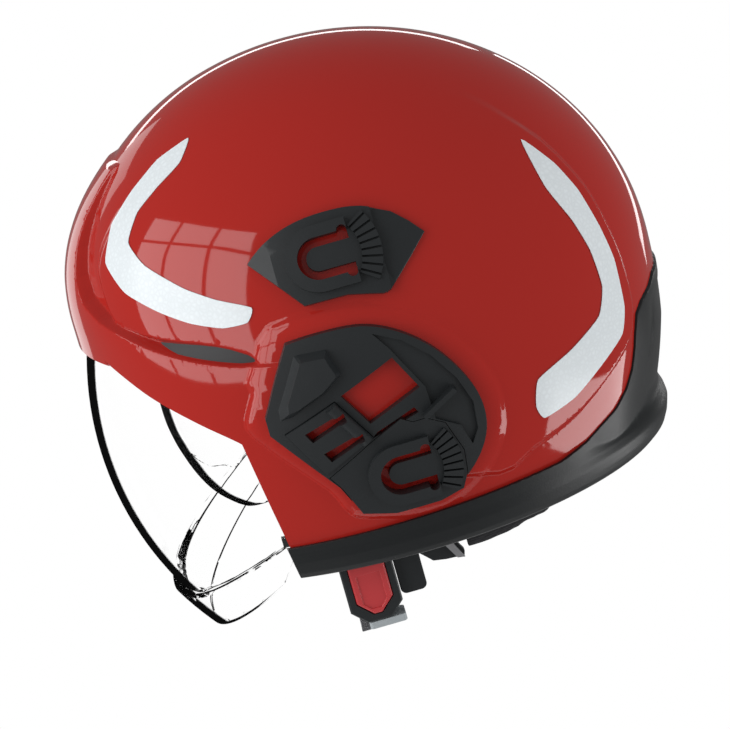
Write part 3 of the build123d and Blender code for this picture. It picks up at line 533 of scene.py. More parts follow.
# ---- Shell ----
@dataclass
class Shell:
    """The red shell: one smooth surface of dome, side bowls, brow band and front plate."""

    half_width: float = 118.0
    half_length: float = 150.2
    rise: float = 138.7
    centre_y: float = 4.5
    centre_z: float = 22.6
    skirt_radius: float = 276.3
    front_width: float = 126.0
    front_length: float = 150.0
    front_rise: float = 120.0
    front_y: float = 18.0
    front_z: float = 55.0
    brow_proud: float = 7.0
    bowl_proud: float = 2.5
    wall: float = 3.0
    rear_tuck: float = 3.6
    rear_tuck_turn: Span = (0.80, 0.97)
    rear_tuck_drop: Span = (0.0, 50.0)
    step_tuck: float = 1.6
    step_tuck_turn: Span = (0.93, 0.985)
    step_tuck_drop: Span = (-4.0, 6.0)
    rim_z: float = -69.0
    foot_z: float = -90.0
    brow_shares: Points = ((0.15, 0.76), (0.18, 0.66), (0.22, 0.53), (0.27, 0.44), (0.35, 0.37),
                           (0.46, 0.32), (0.61, 0.265), (0.80, 0.18), (0.90, 0.135), (1.05, 0.10))
    bowl_shares: Points = ((-0.745, 0.30), (-0.756, 0.457), (-0.72, 0.545), (-0.64, 0.65), (-0.516, 0.745),
                           (-0.40, 0.82), (-0.25, 0.895), (-0.03, 0.93), (0.236, 0.89), (0.50, 0.74),
                           (0.69, 0.52), (0.782, 0.34), (0.82, 0.20), (0.842, 0.06), (0.845, -0.12),
                           (0.80, -0.25), (0.58, -0.385), (0.40, -0.44), (0.28, -0.48), (-0.10, -0.30),
                           (-0.323, 0.111), (-0.456, 0.20), (-0.62, 0.24))
    cover_shares: Points = ((-0.253, 0.188), (-0.11, 0.199), (-0.012, 0.188), (0.093, 0.134), (0.18, 0.049),
                            (0.248, -0.066), (0.282, -0.175), (0.276, -0.283), (0.238, -0.362),
                            (0.178, -0.427), (0.083, -0.477), (-0.061, -0.473), (-0.166, -0.451),
                            (-0.21, -0.343), (-0.374, -0.107), (-0.374, -0.048), (-0.308, 0.088))
    outline_steps: int = 3
    outline_tension: float = 0.35
    dome_blend: float = 9.0
    band_blend: float = 5.0
    inner_blend: float = 4.0
    inner_step_z: Span = (52.0, 60.0)
    bowl_edge: Span = (-1.4, 2.2)
    bowl_fade_z: Span = (96.0, 134.0)
    bowl_fade_x: Span = (20.0, 34.0)
    ledge_edge: Span = (-1.0, 1.0)
    ledge_margin: float = 60.0
    ledge_floor_z: float = -200.0
    collar_proud: float = 3.2
    collar_rear_proud: float = 1.4
    collar_proud_y: Span = (-25.0, 25.0)
    collar_width: float = 10.0
    collar_low_width: float = 6.0
    collar_width_z: Span = (26.0, 34.0)
    collar_width_y: Span = (-20.0, 10.0)
    collar_shoulder: Span = (0.7, 1.0)
    collar_shoulder_drop: float = 0.5
    face_shares: Points = ((-0.902, 0.161), (-0.81, 0.15), (-0.708, 0.05), (-0.583, -0.05),
                           (-0.467, -0.141), (-0.42, -0.205), (-0.389, -0.336), (-0.383, -0.80))
    # The face opening's edge curves through this many inner corners, and the later ones only lead its end
    face_corners: int = 4
    face_steps: int = 8
    around: int = 168
    dome_rows: int = 52
    skirt_rows: int = 26
    inner_dome_rows: int = 24
    inner_skirt_rows: int = 16
    split_lengths: tuple[float, ...] = (3.0, 1.8, 1.1, 0.7)
    brow_only_below: float = 0.9
    brow_end: float = 6.0
    bowl_crease: float = 1.0
    bowl_crease_top_z: float = 132.0
    collar_crease: float = 1.2
    collar_crease_share: float = 0.9
    collar_least_x: float = 60.0
    split_margin: float = 0.3
    laid_top_z: float = 150.0
    normals_top_z: float = 158.0
    on_skin: float = 0.03
    turn_step: float = 0.002
    height_step: float = 0.25
    edge_round: float = 0.9
    sharp_angle: float = 60.0
    search_steps: int = 40

    def side_points(self, shares: Points) -> list[tuple[float, float]]:
        """Turn shares of the half length and the rise into (y, z) points."""
        return [(self.centre_y + self.half_length * u, self.centre_z + self.rise * v) for u, v in shares]

    def main_radius(self, theta: np.ndarray, z: np.ndarray, grow: float = 0.0,
                    top: float | None = None) -> np.ndarray:
        """Horizontal radius of the main dome.

        Args:
            theta: Directions about the vertical axis.
            z: Heights.
            grow: How far the dome is grown outwards.
            top: How far its crown is grown, as grow if not given.

        Returns:
            The radii in millimetres.
        """
        length = self.half_length + grow
        height = self.rise + (grow if top is None else top)
        up = z - self.centre_z
        dome = np.sqrt(np.clip(1.0 - (up / height) ** 2, 0.0, 1.0))
        drop = np.minimum(up, 0.0)
        skirt = (length - self.skirt_radius + np.sqrt(self.skirt_radius**2 - drop**2)) / length
        share = np.where(up > 0.0, dome, skirt)
        return share / np.hypot(np.cos(theta) / (self.half_width + grow), np.sin(theta) / length)

    def tuck(self, theta: np.ndarray, z: np.ndarray) -> np.ndarray:
        """How far the skirt draws in at the rear, below the rubber moulding.

        Args:
            theta: Directions about the vertical axis.
            z: Heights.

        Returns:
            The distances in millimetres.
        """
        rear = np.sin(theta)
        skirt = smooth_step(rear, *self.rear_tuck_turn) * smooth_step(-z, *self.rear_tuck_drop)
        step = smooth_step(rear, *self.step_tuck_turn) * smooth_step(-z, *self.step_tuck_drop)
        return self.rear_tuck * skirt + self.step_tuck * step

    def face_edge(self, lead: float = 0.0) -> list[tuple[float, float]]:
        """Side view outline of the face opening.

        Args:
            lead: How far the outline is moved forwards.

        Returns:
            A closed outline of (y, z) points that runs past the shell's front.
        """
        shares = self.side_points(self.face_shares)
        kept = (self.face_corners - 1) * self.face_steps + 1
        edge = shares[:1] + rounded_outline(shares[1:-1], self.face_steps)[:kept] + shares[-1:]
        edge += [(-FAR, edge[-1][1]), (-FAR, edge[0][1])]
        return [(y - lead, z) for y, z in edge]

    def front_radius(self, theta: np.ndarray, z: np.ndarray, grow: float = 0.0) -> np.ndarray:
        """Horizontal radius of the upright front form, from the main dome's axis.

        Args:
            theta: Directions about the vertical axis.
            z: Heights.
            grow: How far the form is grown outwards.

        Returns:
            The radii in millimetres.
        """
        up = np.clip((z - self.front_z) / (self.front_rise + grow), 0.0, 0.999)
        share = np.sqrt(1.0 - up**2)
        a = (self.front_width + grow) * share
        b = (self.front_length + grow) * share
        off = self.front_y - self.centre_y
        aa = (np.cos(theta) / a) ** 2 + (np.sin(theta) / b) ** 2
        bb = off * np.sin(theta) / b**2
        cc = np.minimum((off / b) ** 2 - 1.0, -1e-3)
        return (bb + np.sqrt(bb * bb - aa * cc)) / aa

    def radius(self, theta: np.ndarray, z: np.ndarray) -> np.ndarray:
        """Horizontal radius of the finished outer skin.

        Args:
            theta: Directions about the vertical axis.
            z: Heights.

        Returns:
            The radii in millimetres.
        """
        dome, band, bowl, ledge, collar = self.zones(theta, z)
        lift = smooth_step(bowl, *self.bowl_edge) * (1.0 - smooth_step(z, *self.bowl_fade_z))
        lift *= smooth_step(np.abs(dome * np.cos(theta)), *self.bowl_fade_x)
        raised = dome + self.bowl_proud * lift
        share = np.where(theta > 0.0, 0.0, smooth_step(ledge, *self.ledge_edge))
        y = self.centre_y + dome * np.sin(theta)
        formed = raised * (1.0 - share) + np.maximum(band, raised) * share
        return formed + self.collar_lift(collar, y, z) - self.tuck(theta, z)

    def zones(self, theta: np.ndarray, z: np.ndarray) -> tuple[np.ndarray, ...]:
        """Find the plain forms and how far a place lies inside each raised zone.

        Args:
            theta: Directions about the vertical axis.
            z: Heights.

        Returns:
            Radius of the dome, radius of the brow band, and distances inside the bowl's outline,
            inside the brow band's zone and outside the side cover's outline.
        """
        main = self.main_radius(theta, z)
        dome = smooth_min(main, self.front_radius(theta, z, -self.brow_proud), self.dome_blend)
        band = smooth_min(main, self.front_radius(theta, z), self.band_blend)
        y = self.centre_y + dome * np.sin(theta)
        bowl, cover = (signed_distance(y, z, rounded_outline(self.side_points(shares), self.outline_steps,
                                                             self.outline_tension))
                       for shares in (self.bowl_shares, self.cover_shares))
        zone = self.ledge_line()
        margin, floor = self.ledge_margin, self.ledge_floor_z
        zone += [(zone[-1][0] + margin, zone[-1][1]), (zone[-1][0] + margin, floor), (-margin, floor),
                 (-margin, zone[0][1])]
        ledge = signed_distance(np.abs(band * np.cos(theta)), z, zone)
        return dome, band, bowl, ledge, -cover

    def collar_breadth(self, y: np.ndarray, z: np.ndarray) -> np.ndarray:
        """Breadth of the raised surround of the side cover, narrower low at the front.

        Args:
            y: Lengthwise places.
            z: Heights.

        Returns:
            The breadths in millimetres.
        """
        high = smooth_step(z, *self.collar_width_z)
        share = high + smooth_step(y, *self.collar_width_y) * (1.0 - high)
        return self.collar_low_width + (self.collar_width - self.collar_low_width) * share

    def collar_lift(self, off: np.ndarray, y: np.ndarray, z: np.ndarray) -> np.ndarray:
        """Height of the raised surround of the side cover, falling with the distance from the cover.

        Args:
            off: Distances outside the cover's outline.
            y: Lengthwise places.
            z: Heights.

        Returns:
            The heights in millimetres.
        """
        fall = (self.collar_proud - self.collar_rear_proud) * smooth_step(y, *self.collar_proud_y)
        share = np.clip(off / self.collar_breadth(y, z), 0.0, 1.0)
        shoulder = 1.0 - self.collar_shoulder_drop * smooth_step(share, *self.collar_shoulder)
        return (self.collar_proud - fall) * (1.0 - share**2) * shoulder

    def feature_distance(self, points: np.ndarray, fine: bool) -> np.ndarray:
        """Distance of points on the skin from its nearest crease, in millimetres.

        Args:
            points: Points on the skin.
            fine: Whether only the brow band's edge counts.

        Returns:
            The distances.
        """
        x, y, z = np.abs(points[:, 0]), points[:, 1], np.minimum(points[:, 2], self.laid_top_z)
        _, _, bowl, ledge, off = self.zones(np.arctan2(y - self.centre_y, points[:, 0]), z)
        ledge = np.where(y > self.centre_y - self.brow_end, NONE_NEAR, np.abs(ledge))
        if fine:
            return ledge
        faded = (z > self.bowl_crease_top_z) | (x < self.bowl_fade_x[0])
        bowl = np.where(faded, NONE_NEAR, np.abs(bowl - sum(self.bowl_edge) / 2) - self.bowl_crease)
        edge = np.abs(off - self.collar_crease_share * self.collar_breadth(y, z)) - self.collar_crease
        return np.minimum(np.minimum(ledge, bowl), np.where(x < self.collar_least_x, NONE_NEAR, edge))

    def ledge_line(self) -> list[tuple[float, float]]:
        """Front view line of the brow band's upper edge, as (x, z) from the middle outwards."""
        line = [(self.half_width * u, self.centre_z + self.rise * v) for u, v in self.brow_shares]
        return [(0.0, line[0][1])] + line

    def refined(self, points: np.ndarray,
                faces: Sequence[Sequence[int]]) -> tuple[np.ndarray, list[list[int]]]:
        """Split the skin's faces near its creases and lay the new points on the skin.

        Args:
            points: The coarse skin's points.
            faces: Its faces.

        Returns:
            The finer points and triangles.
        """
        flat = bpy.data.meshes.new("coarse")
        flat.from_pydata(points.tolist(), [], [list(face) for face in faces])
        mesh = bmesh.new()
        mesh.from_mesh(flat)
        bpy.data.meshes.remove(flat)
        bmesh.ops.triangulate(mesh, faces=mesh.faces)
        for length in self.split_lengths:
            edges = list(mesh.edges)
            ends = np.array([[tuple(v.co) for v in edge.verts] for edge in edges])
            span = np.linalg.norm(ends[:, 0] - ends[:, 1], axis=1)
            off = self.feature_distance(ends.mean(axis=1), length < self.brow_only_below)
            near = off < 0.5 * span + self.split_margin
            chosen = [edges[i] for i in np.nonzero(near & (span > length))[0]]
            bmesh.ops.subdivide_edges(mesh, edges=chosen, cuts=1)
            bmesh.ops.triangulate(mesh, faces=[face for face in mesh.faces if len(face.verts) > 3])
            mesh.verts.ensure_lookup_table()
            place = np.array([tuple(v.co) for v in mesh.verts])
            theta = np.arctan2(place[:, 1] - self.centre_y, place[:, 0])
            r = self.radius(theta, np.minimum(place[:, 2], self.laid_top_z))
            for i in np.nonzero(place[:, 2] < self.laid_top_z)[0]:
                mesh.verts[i].co = (r[i] * math.cos(theta[i]), self.centre_y + r[i] * math.sin(theta[i]),
                                    place[i, 2])
        fine = np.array([tuple(v.co) for v in mesh.verts])
        triangles = [[v.index for v in face.verts] for face in mesh.faces]
        mesh.free()
        return fine, triangles

    def true_normals(self, subject: bpy.types.Object) -> None:
        """Give the points that lie on the outer skin the skin's own normals.

        Args:
            subject: The finished shell.
        """
        mesh = subject.data
        place = np.empty(len(mesh.vertices) * 3)
        mesh.vertices.foreach_get("co", place)
        place = place.reshape(-1, 3) / MM
        theta = np.arctan2(place[:, 1] - self.centre_y, place[:, 0])
        z = np.minimum(place[:, 2], self.normals_top_z)
        r = self.radius(theta, z)
        off = np.abs(np.hypot(place[:, 0], place[:, 1] - self.centre_y) - r)
        on_skin = (off < self.on_skin) & (place[:, 2] < self.normals_top_z)
        turn, step = self.turn_step, self.height_step
        by_theta = (self.radius(theta + turn, z) - self.radius(theta - turn, z)) / (2 * turn)
        by_z = (self.radius(theta, z + step) - self.radius(theta, z - step)) / (2 * step)
        normals = np.stack([by_theta * np.sin(theta) + r * np.cos(theta),
                            r * np.sin(theta) - by_theta * np.cos(theta), -r * by_z], axis=1)
        normals /= np.linalg.norm(normals, axis=1)[:, None]
        corners = np.empty(len(mesh.loops), dtype=np.int32)
        mesh.loops.foreach_get("vertex_index", corners)
        shown = np.empty(len(mesh.loops) * 3, dtype=np.float32)
        mesh.corner_normals.foreach_get("vector", shown)
        shown = shown.reshape(-1, 3)
        totals = np.empty(len(mesh.polygons), dtype=np.int32)
        mesh.polygons.foreach_get("loop_total", totals)
        face_of = np.repeat(np.arange(len(totals)), totals)
        whole = np.bincount(face_of, weights=~on_skin[corners], minlength=len(totals)) == 0
        use = whole[face_of] & (np.einsum("ij,ij->i", shown, normals[corners]) > 0.5)
        shown[use] = normals[corners[use]]
        mesh.normals_split_custom_set(shown.tolist())

    def grid(self, radius: Callable[[np.ndarray, np.ndarray], np.ndarray], angles: np.ndarray,
             heights: np.ndarray) -> np.ndarray:
        """Lay a grid of points on a skin.

        Args:
            radius: The skin's horizontal radius.
            angles: Directions of the columns.
            heights: Heights of the rows from the crown down.

        Returns:
            Rows by columns of points.
        """
        theta, z = np.meshgrid(angles, heights)
        r = radius(theta, z)
        return np.stack([r * np.cos(theta), self.centre_y + r * np.sin(theta), z], axis=-1)

    def skin_rows(self, count_dome: int, count_skirt: int) -> np.ndarray:
        """Space the rows evenly along the dome's arc, then down the skirt.

        Args:
            count_dome: Rows on the dome.
            count_skirt: Rows on the skirt.

        Returns:
            The rows' heights from the crown down.
        """
        turn = np.linspace(0.0, math.pi / 2, count_dome + 1)[1:]
        dome = self.centre_z + self.rise * np.cos(turn)
        skirt = np.linspace(self.centre_z, self.foot_z, count_skirt + 1)[1:]
        return np.concatenate([dome, skirt])

    def build(self) -> list[bpy.types.Object]:
        """Build the shell's outer and inner skins, cut the face opening and round the edges.

        Returns:
            The shell, in place of the CAD node.
        """
        spread = np.linspace(-math.pi, math.pi, self.around + 1)[:-1]
        outer = self.grid(self.radius, spread, self.skin_rows(self.dome_rows, self.skirt_rows))
        rows, columns = outer.shape[:2]
        crown = np.array([[0.0, self.centre_y, self.centre_z + self.rise]])
        faces = grid_faces(rows, columns, True, flip=True)
        faces += [[rows * columns, j, (j + 1) % columns] for j in range(columns)]
        skin, triangles = self.refined(np.concatenate([outer.reshape(-1, 3), crown]), faces)
        inner = self.grid(self.inner_radius, spread,
                          self.skin_rows(self.inner_dome_rows, self.inner_skirt_rows))
        low_rows, low_columns = inner.shape[:2]
        start, outer_count = len(skin), len(triangles)
        under = start + low_rows * low_columns
        points = np.concatenate([skin, inner.reshape(-1, 3), crown - (0.0, 0.0, self.wall)])
        triangles += grid_faces(low_rows, low_columns, True, start)
        triangles += [[under, start + (j + 1) % low_columns, start + j] for j in range(low_columns)]
        foot, low_foot = (rows - 1) * columns, start + (low_rows - 1) * low_columns
        triangles += [[foot + j, low_foot + j, low_foot + (j + 1) % columns, foot + (j + 1) % columns]
                      for j in range(columns)]
        shell = make_object("shell_outer_skin", points, triangles, RED_LACQUER.build())
        shell.data.materials.append(SHELL_INSIDE.build())
        for face in shell.data.polygons[outer_count:len(triangles) - columns]:
            face.material_index = 1
        outward(shell)
        cut(shell, prism(self.face_edge(), -FAR, FAR))
        cut(shell, prism([(-FAR, -FAR), (FAR, -FAR), (FAR, self.rim_z), (-FAR, self.rim_z)], -FAR, FAR))
        rounded(shell, self.edge_round, self.sharp_angle)
        smooth(shell, self.sharp_angle)
        self.true_normals(shell)
        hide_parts("outer_shell")
        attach(shell, "helmet")
        return [shell]

    def inner_radius(self, theta: np.ndarray, z: np.ndarray) -> np.ndarray:
        """Horizontal radius of the inner skin.

        Args:
            theta: Directions about the vertical axis.
            z: Heights.

        Returns:
            The radii in millimetres.
        """
        main = self.main_radius(theta, z, -self.wall)
        upper, lower = (smooth_min(main, self.front_radius(theta, z, -self.wall - proud), self.inner_blend)
                        for proud in (self.brow_proud, 0.0))
        return upper + (lower - upper) * (1.0 - smooth_step(z, *self.inner_step_z)) - self.tuck(theta, z)

    def skin_x(self, y: np.ndarray, z: np.ndarray) -> np.ndarray:
        """Find how far to the side the skin lies at side view points.

        Args:
            y: Lengthwise places.
            z: Heights.

        Returns:
            The x of the left skin.
        """
        low = np.full(y.shape, -math.pi / 2)
        high = np.full(y.shape, math.pi / 2)
        for _ in range(self.search_steps):
            middle = (low + high) / 2
            ahead = self.centre_y + self.radius(middle, z) * np.sin(middle) < y
            low = np.where(ahead, middle, low)
            high = np.where(ahead, high, middle)
        return self.radius(low, z) * np.cos(low)


@dataclass
class Stickers:
    """The four reflective stickers, and the upper brackets' thin rear tips, laid on the shell's skin."""

    shell: Shell
    gap: float = 0.3
    thickness: float = 0.25
    pitch: float = 1.6
    outline_steps: int = 5
    outline_tension: float = 0.25
    front: Points = ((-0.368, 0.836), (-0.415, 0.775), (-0.501, 0.717), (-0.585, 0.65), (-0.638, 0.565),
                     (-0.606, 0.494), (-0.506, 0.412), (-0.419, 0.362), (-0.32, 0.318), (-0.345, 0.272),
                     (-0.423, 0.267), (-0.517, 0.297), (-0.605, 0.345), (-0.692, 0.41), (-0.728, 0.50),
                     (-0.678, 0.61), (-0.587, 0.705), (-0.481, 0.787))
    rear: Points = ((0.63, 0.55), (0.712, 0.44), (0.764, 0.327), (0.80, 0.188), (0.82, 0.06),
                    (0.815, -0.11), (0.784, -0.198), (0.692, -0.257), (0.577, -0.32), (0.465, -0.342),
                    (0.447, -0.29), (0.475, -0.20), (0.606, -0.151), (0.72, -0.091), (0.756, 0.0),
                    (0.747, 0.134), (0.715, 0.253), (0.66, 0.39))
    bracket_tip: Points = ((18.0, 95.6), (24.0, 94.2), (29.5, 91.6), (36.0, 85.8), (42.0, 79.0),
                           (33.0, 71.0), (25.0, 64.0), (18.0, 58.4))
    tip_thickness: float = 1.9

    def build(self) -> list[bpy.types.Object]:
        """Build each sticker and the thin rear tip of the upper bracket on both sides.

        Returns:
            Two stickers and a tip for each side.
        """
        pieces = []
        for side in Side:
            word = side.name.lower()
            for name, shares in (("front", self.front), ("rear", self.rear)):
                outline = rounded_outline(self.shell.side_points(shares), self.outline_steps,
                                          self.outline_tension)
                piece = self.patch(f"{name}_sticker_film_{word}", outline, side, self.thickness, REFLECTIVE)
                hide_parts(f"{name}_sticker_{word}")
                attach(piece, "helmet")
                pieces.append(piece)
            tip = self.patch(f"upper_lamp_bracket_tip_{word}", self.bracket_tip, side, self.tip_thickness,
                             BLACK_PLASTIC)
            rounded(tip, width=0.4, degrees=50.0)
            smooth(tip, degrees=40.0)
            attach(tip, "helmet")
            pieces.append(tip)
        return pieces

    def patch(self, name: str, outline: Points, side: Side, thickness: float,
              finish: Finish) -> bpy.types.Object:
        """Lay one outline on the skin as a thin closed sheet.

        Args:
            name: The piece's name.
            outline: Side view points in millimetres.
            side: Which side it is on.
            thickness: How thick the sheet is.
            finish: Its finish.

        Returns:
            The sheet.
        """
        span = np.array(outline)
        ys = np.arange(span[:, 0].min(), span[:, 0].max(), self.pitch)
        zs = np.arange(span[:, 1].min(), span[:, 1].max(), self.pitch)
        gy, gz = (places.ravel() for places in np.meshgrid(ys, zs))
        keep = signed_distance(gy, gz, outline) > 0.5 * self.pitch
        flat = [Vector(p) for p in outline] + [Vector((y, z)) for y, z in zip(gy[keep], gz[keep])]
        result = delaunay_2d_cdt(flat, [], [list(range(len(outline)))], 1, 1e-5)
        flat_points = np.array([tuple(v) for v in result[0]])
        x = self.shell.skin_x(flat_points[:, 0], flat_points[:, 1]) + self.gap
        points = np.stack([x * side.value, flat_points[:, 0], flat_points[:, 1]], axis=-1)
        film = make_object(name, points, result[2], finish.build())
        mesh = bmesh.new()
        mesh.from_mesh(film.data)
        bmesh.ops.recalc_face_normals(mesh, faces=mesh.faces)
        mesh.normal_update()
        if sum(face.normal.x for face in mesh.faces) * side.value < 0:
            bmesh.ops.reverse_faces(mesh, faces=mesh.faces)
        mesh.to_mesh(film.data)
        mesh.free()
        wall = film.modifiers.new("film", "SOLIDIFY")
        wall.thickness = thickness * MM
        wall.offset = 1.0
        apply_modifiers(film)
        smooth(film, 50.0)
        return film


# ---- Visors ----
@dataclass
class FaceShield:
    """The clear visor: a round form swung about its hinge, with its proud lip."""

    hinge_y: float = 25.0
    hinge_z: float = -10.0
    radius: float = 162.0
    half_width: float = 102.0
    power: float = 2.4
    wall: float = 2.5
    top_angle: float = 23.0
    ledge_angle: float = -28.2
    bottom_angle: float = -36.8
    lip_proud: float = 4.0
    lip_side_proud: float = 0.8
    lip_ear_share: float = 0.7
    lip_ear_rise: float = 4.0
    ledge_turn: float = 0.9
    ear_share: float = 0.6
    ear_angle: float = 31.0
    hub_radius: float = 17.0
    hub_angles: Span = (97.0, 263.0)
    hub_steps: int = 22
    outer_margin: float = 30.0
    cut_half: float = 200.0
    across: int = 121
    around: int = 180

    def at(self, radius: float, angle: float) -> tuple[float, float]:
        """A side view point at a radius and an angle above forward from the hinge."""
        turn = math.radians(angle)
        return (self.hinge_y - radius * math.cos(turn), self.hinge_z + radius * math.sin(turn))

    def skin(self, inset: float, side_inset: float) -> np.ndarray:
        """Points of the swung form, inset from its outer face.

        Args:
            inset: Inset of the radius.
            side_inset: Inset of the half width.

        Returns:
            Rows across the visor by columns about the hinge of points.
        """
        turn = np.linspace(-1.0, 1.0, self.across) * math.pi / 2
        width, radius = self.half_width - side_inset, self.radius - inset
        share = 2.0 / self.power
        x = np.sign(turn) * width * np.abs(np.sin(turn)) ** share
        rho = radius * np.clip(np.cos(turn), 1e-6, 1.0) ** share
        angle = np.linspace(0.0, 2 * math.pi, self.around + 1)[:-1]
        xs, _ = np.meshgrid(x, angle, indexing="ij")
        rhos, angles = np.meshgrid(rho, angle, indexing="ij")
        ys, zs = self.hinge_y - rhos * np.cos(angles), self.hinge_z + rhos * np.sin(angles)
        return np.stack([xs, ys, zs], axis=-1)

    def closed_form(self, name: str, inset: float, side_inset: float,
                    finish: ClearFinish = CLEAR) -> bpy.types.Object:
        """Make one swung form as a closed body.

        Args:
            name: The object's name.
            inset: Inset of the radius.
            side_inset: Inset of the half width.
            finish: Its clear finish.

        Returns:
            The body, with outward faces.
        """
        points = self.skin(inset, side_inset)
        rows, columns = points.shape[:2]
        ring = points[1:-1].reshape(-1, 3)
        tips = points[[0, -1], 0]
        faces = grid_faces(rows - 2, columns, True)
        last = (rows - 3) * columns
        tip = len(ring)
        faces += [[tip, (j + 1) % columns, j] for j in range(columns)]
        faces += [[tip + 1, last + j, last + (j + 1) % columns] for j in range(columns)]
        body = make_object(name, np.concatenate([ring, tips]), faces, finish.build())
        outward(body)
        return body

    def build(self) -> list[bpy.types.Object]:
        """Build the visor's wall, ledge and lip as one clear body.

        Returns:
            The visor, in place of the CAD node.
        """
        far = self.radius + self.outer_margin
        ear = self.ear_share * self.radius
        under = self.ledge_angle - self.ledge_turn
        zone = [self.at(self.hub_radius, angle) for angle in np.linspace(*self.hub_angles, self.hub_steps)]
        zone += [self.at(ear, under), self.at(far, under), self.at(far, self.top_angle),
                 self.at(ear, self.ear_angle)]
        visor = self.closed_form("face_shield_clear", 0.0, 0.0)
        cut(visor, self.closed_form("inner", self.wall, self.wall, CLEAR_INSIDE), paint=True)
        cut(visor, prism(zone, -self.cut_half, self.cut_half), "INTERSECT")
        lip = self.closed_form("lip", -self.lip_proud, -self.lip_side_proud)
        step = self.lip_proud - self.wall
        cut(lip, self.closed_form("inner", -step, self.wall - self.lip_side_proud, CLEAR_INSIDE), paint=True)
        lip_zone = [self.at(ear, under), self.at(far, under), self.at(far, self.bottom_angle),
                    self.at(self.lip_ear_share * self.radius, self.bottom_angle),
                    self.at(ear, self.bottom_angle + self.lip_ear_rise)]
        cut(lip, prism(lip_zone[::-1], -self.cut_half, self.cut_half), "INTERSECT")
        ledge = self.closed_form("ledge", -self.lip_proud, -self.lip_side_proud)
        cut(ledge, self.closed_form("inner", self.wall, self.wall))
        ledge_zone = [self.at(ear, self.ledge_angle), self.at(far, self.ledge_angle), self.at(far, under),
                      self.at(ear, under)]
        cut(ledge, prism(ledge_zone[::-1], -self.cut_half, self.cut_half), "INTERSECT")
        cut(visor, ledge, "UNION")
        cut(visor, lip, "UNION")
        rounded(visor, width=0.35, degrees=50.0)
        smooth(visor, degrees=40.0)
        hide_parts("face_shield")
        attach(visor, "face_shield")
        return [visor]


@dataclass
class OcularVisor:
    """The inner clear lens."""

    half_width: float = 84.0
    depth: float = 88.2
    centre_y: float = -14.0
    top_z: float = 15.0
    height: float = 65.0
    wall: float = 2.2
    back_y: float = -44.0
    profile: Points = ((0.0, 0.992), (0.2, 1.0), (0.35, 0.998), (0.52, 0.977), (0.72, 0.933), (0.86, 0.888),
                       (0.955, 0.84), (1.0, 0.80))
    nose: Points = ((0.0, 22.0), (8.5, 17.6), (19.0, 6.6), (28.5, 0.0), (30.4, -22.0))
    nose_steps: int = 5
    # The cut lower corner, in shares of the lens's height from its back and its low edge
    corner_shares: Points = ((-0.15, -0.5), (-0.45, 0.0), (-0.16, 0.16), (0.0, 0.5))
    margin: float = 5.0
    rear_margin: float = 60.0
    rows: int = 40
    columns: int = 160
    open_turn: float = 0.2
    smoothings: int = 6

    def build(self) -> list[bpy.types.Object]:
        """Build the lens from its profile and cut the nose and the lower corners.

        Returns:
            The lens, in place of the CAD node.
        """
        drops = np.linspace(0.0, 1.0, self.rows)
        shares = np.interp(drops, *zip(*self.profile))
        kernel = np.array([0.25, 0.5, 0.25])
        for _ in range(self.smoothings):
            shares[1:-1] = np.convolve(shares, kernel, mode="valid")
        angles = np.linspace(math.pi + self.open_turn, 2 * math.pi - self.open_turn, self.columns)
        skins = []
        for inset in (0.0, self.wall):
            r = shares * self.depth - inset
            x = np.outer(r, np.cos(angles)) * (self.half_width - inset) / (self.depth - inset)
            y = np.outer(r, np.sin(angles)) + self.centre_y
            z = np.repeat((self.top_z - self.height * drops)[:, None], len(angles), axis=1)
            skins.append(np.stack([x, y, z], axis=-1).reshape(-1, 3))
        rows, columns = self.rows, self.columns
        count = rows * columns
        faces = grid_faces(rows, columns, False) + grid_faces(rows, columns, False, count, flip=True)
        rim = [(i * columns) for i in range(rows)] + [(rows - 1) * columns + j for j in range(1, columns)]
        rim += [i * columns + columns - 1 for i in range(rows - 2, -1, -1)] + list(range(columns - 2, 0, -1))
        faces += [[rim[i], rim[(i + 1) % len(rim)], rim[(i + 1) % len(rim)] + count, rim[i] + count]
                  for i in range(len(rim))]
        lens = make_object("ocular_lens_clear", np.concatenate(skins), faces, CLEAR.build())
        lens.data.materials.append(CLEAR_INSIDE.build())
        quads = (rows - 1) * (columns - 1)
        for face in lens.data.polygons[quads:2 * quads]:
            face.material_index = 1
        outward(lens)
        low = self.top_z - self.height
        nose = [(x, low + z) for x, z in self.nose]
        nose += [(-x, z) for x, z in reversed(nose[1:])]
        cut(lens, prism(rounded_outline(nose, self.nose_steps), -FAR, 0.0, "Y"))
        corner = [(self.back_y + u * self.height, low + v * self.height) for u, v in self.corner_shares]
        behind, above = self.back_y + self.rear_margin, self.top_z + self.margin
        corner += [(self.back_y, above), (behind, above), (behind, corner[0][1])]
        cut(lens, prism(corner, -FAR, FAR))
        rounded(lens, width=0.3, degrees=50.0)
        smooth(lens, degrees=40.0)
        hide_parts("ocular_visor")
        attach(lens, "ocular")
        return [lens]


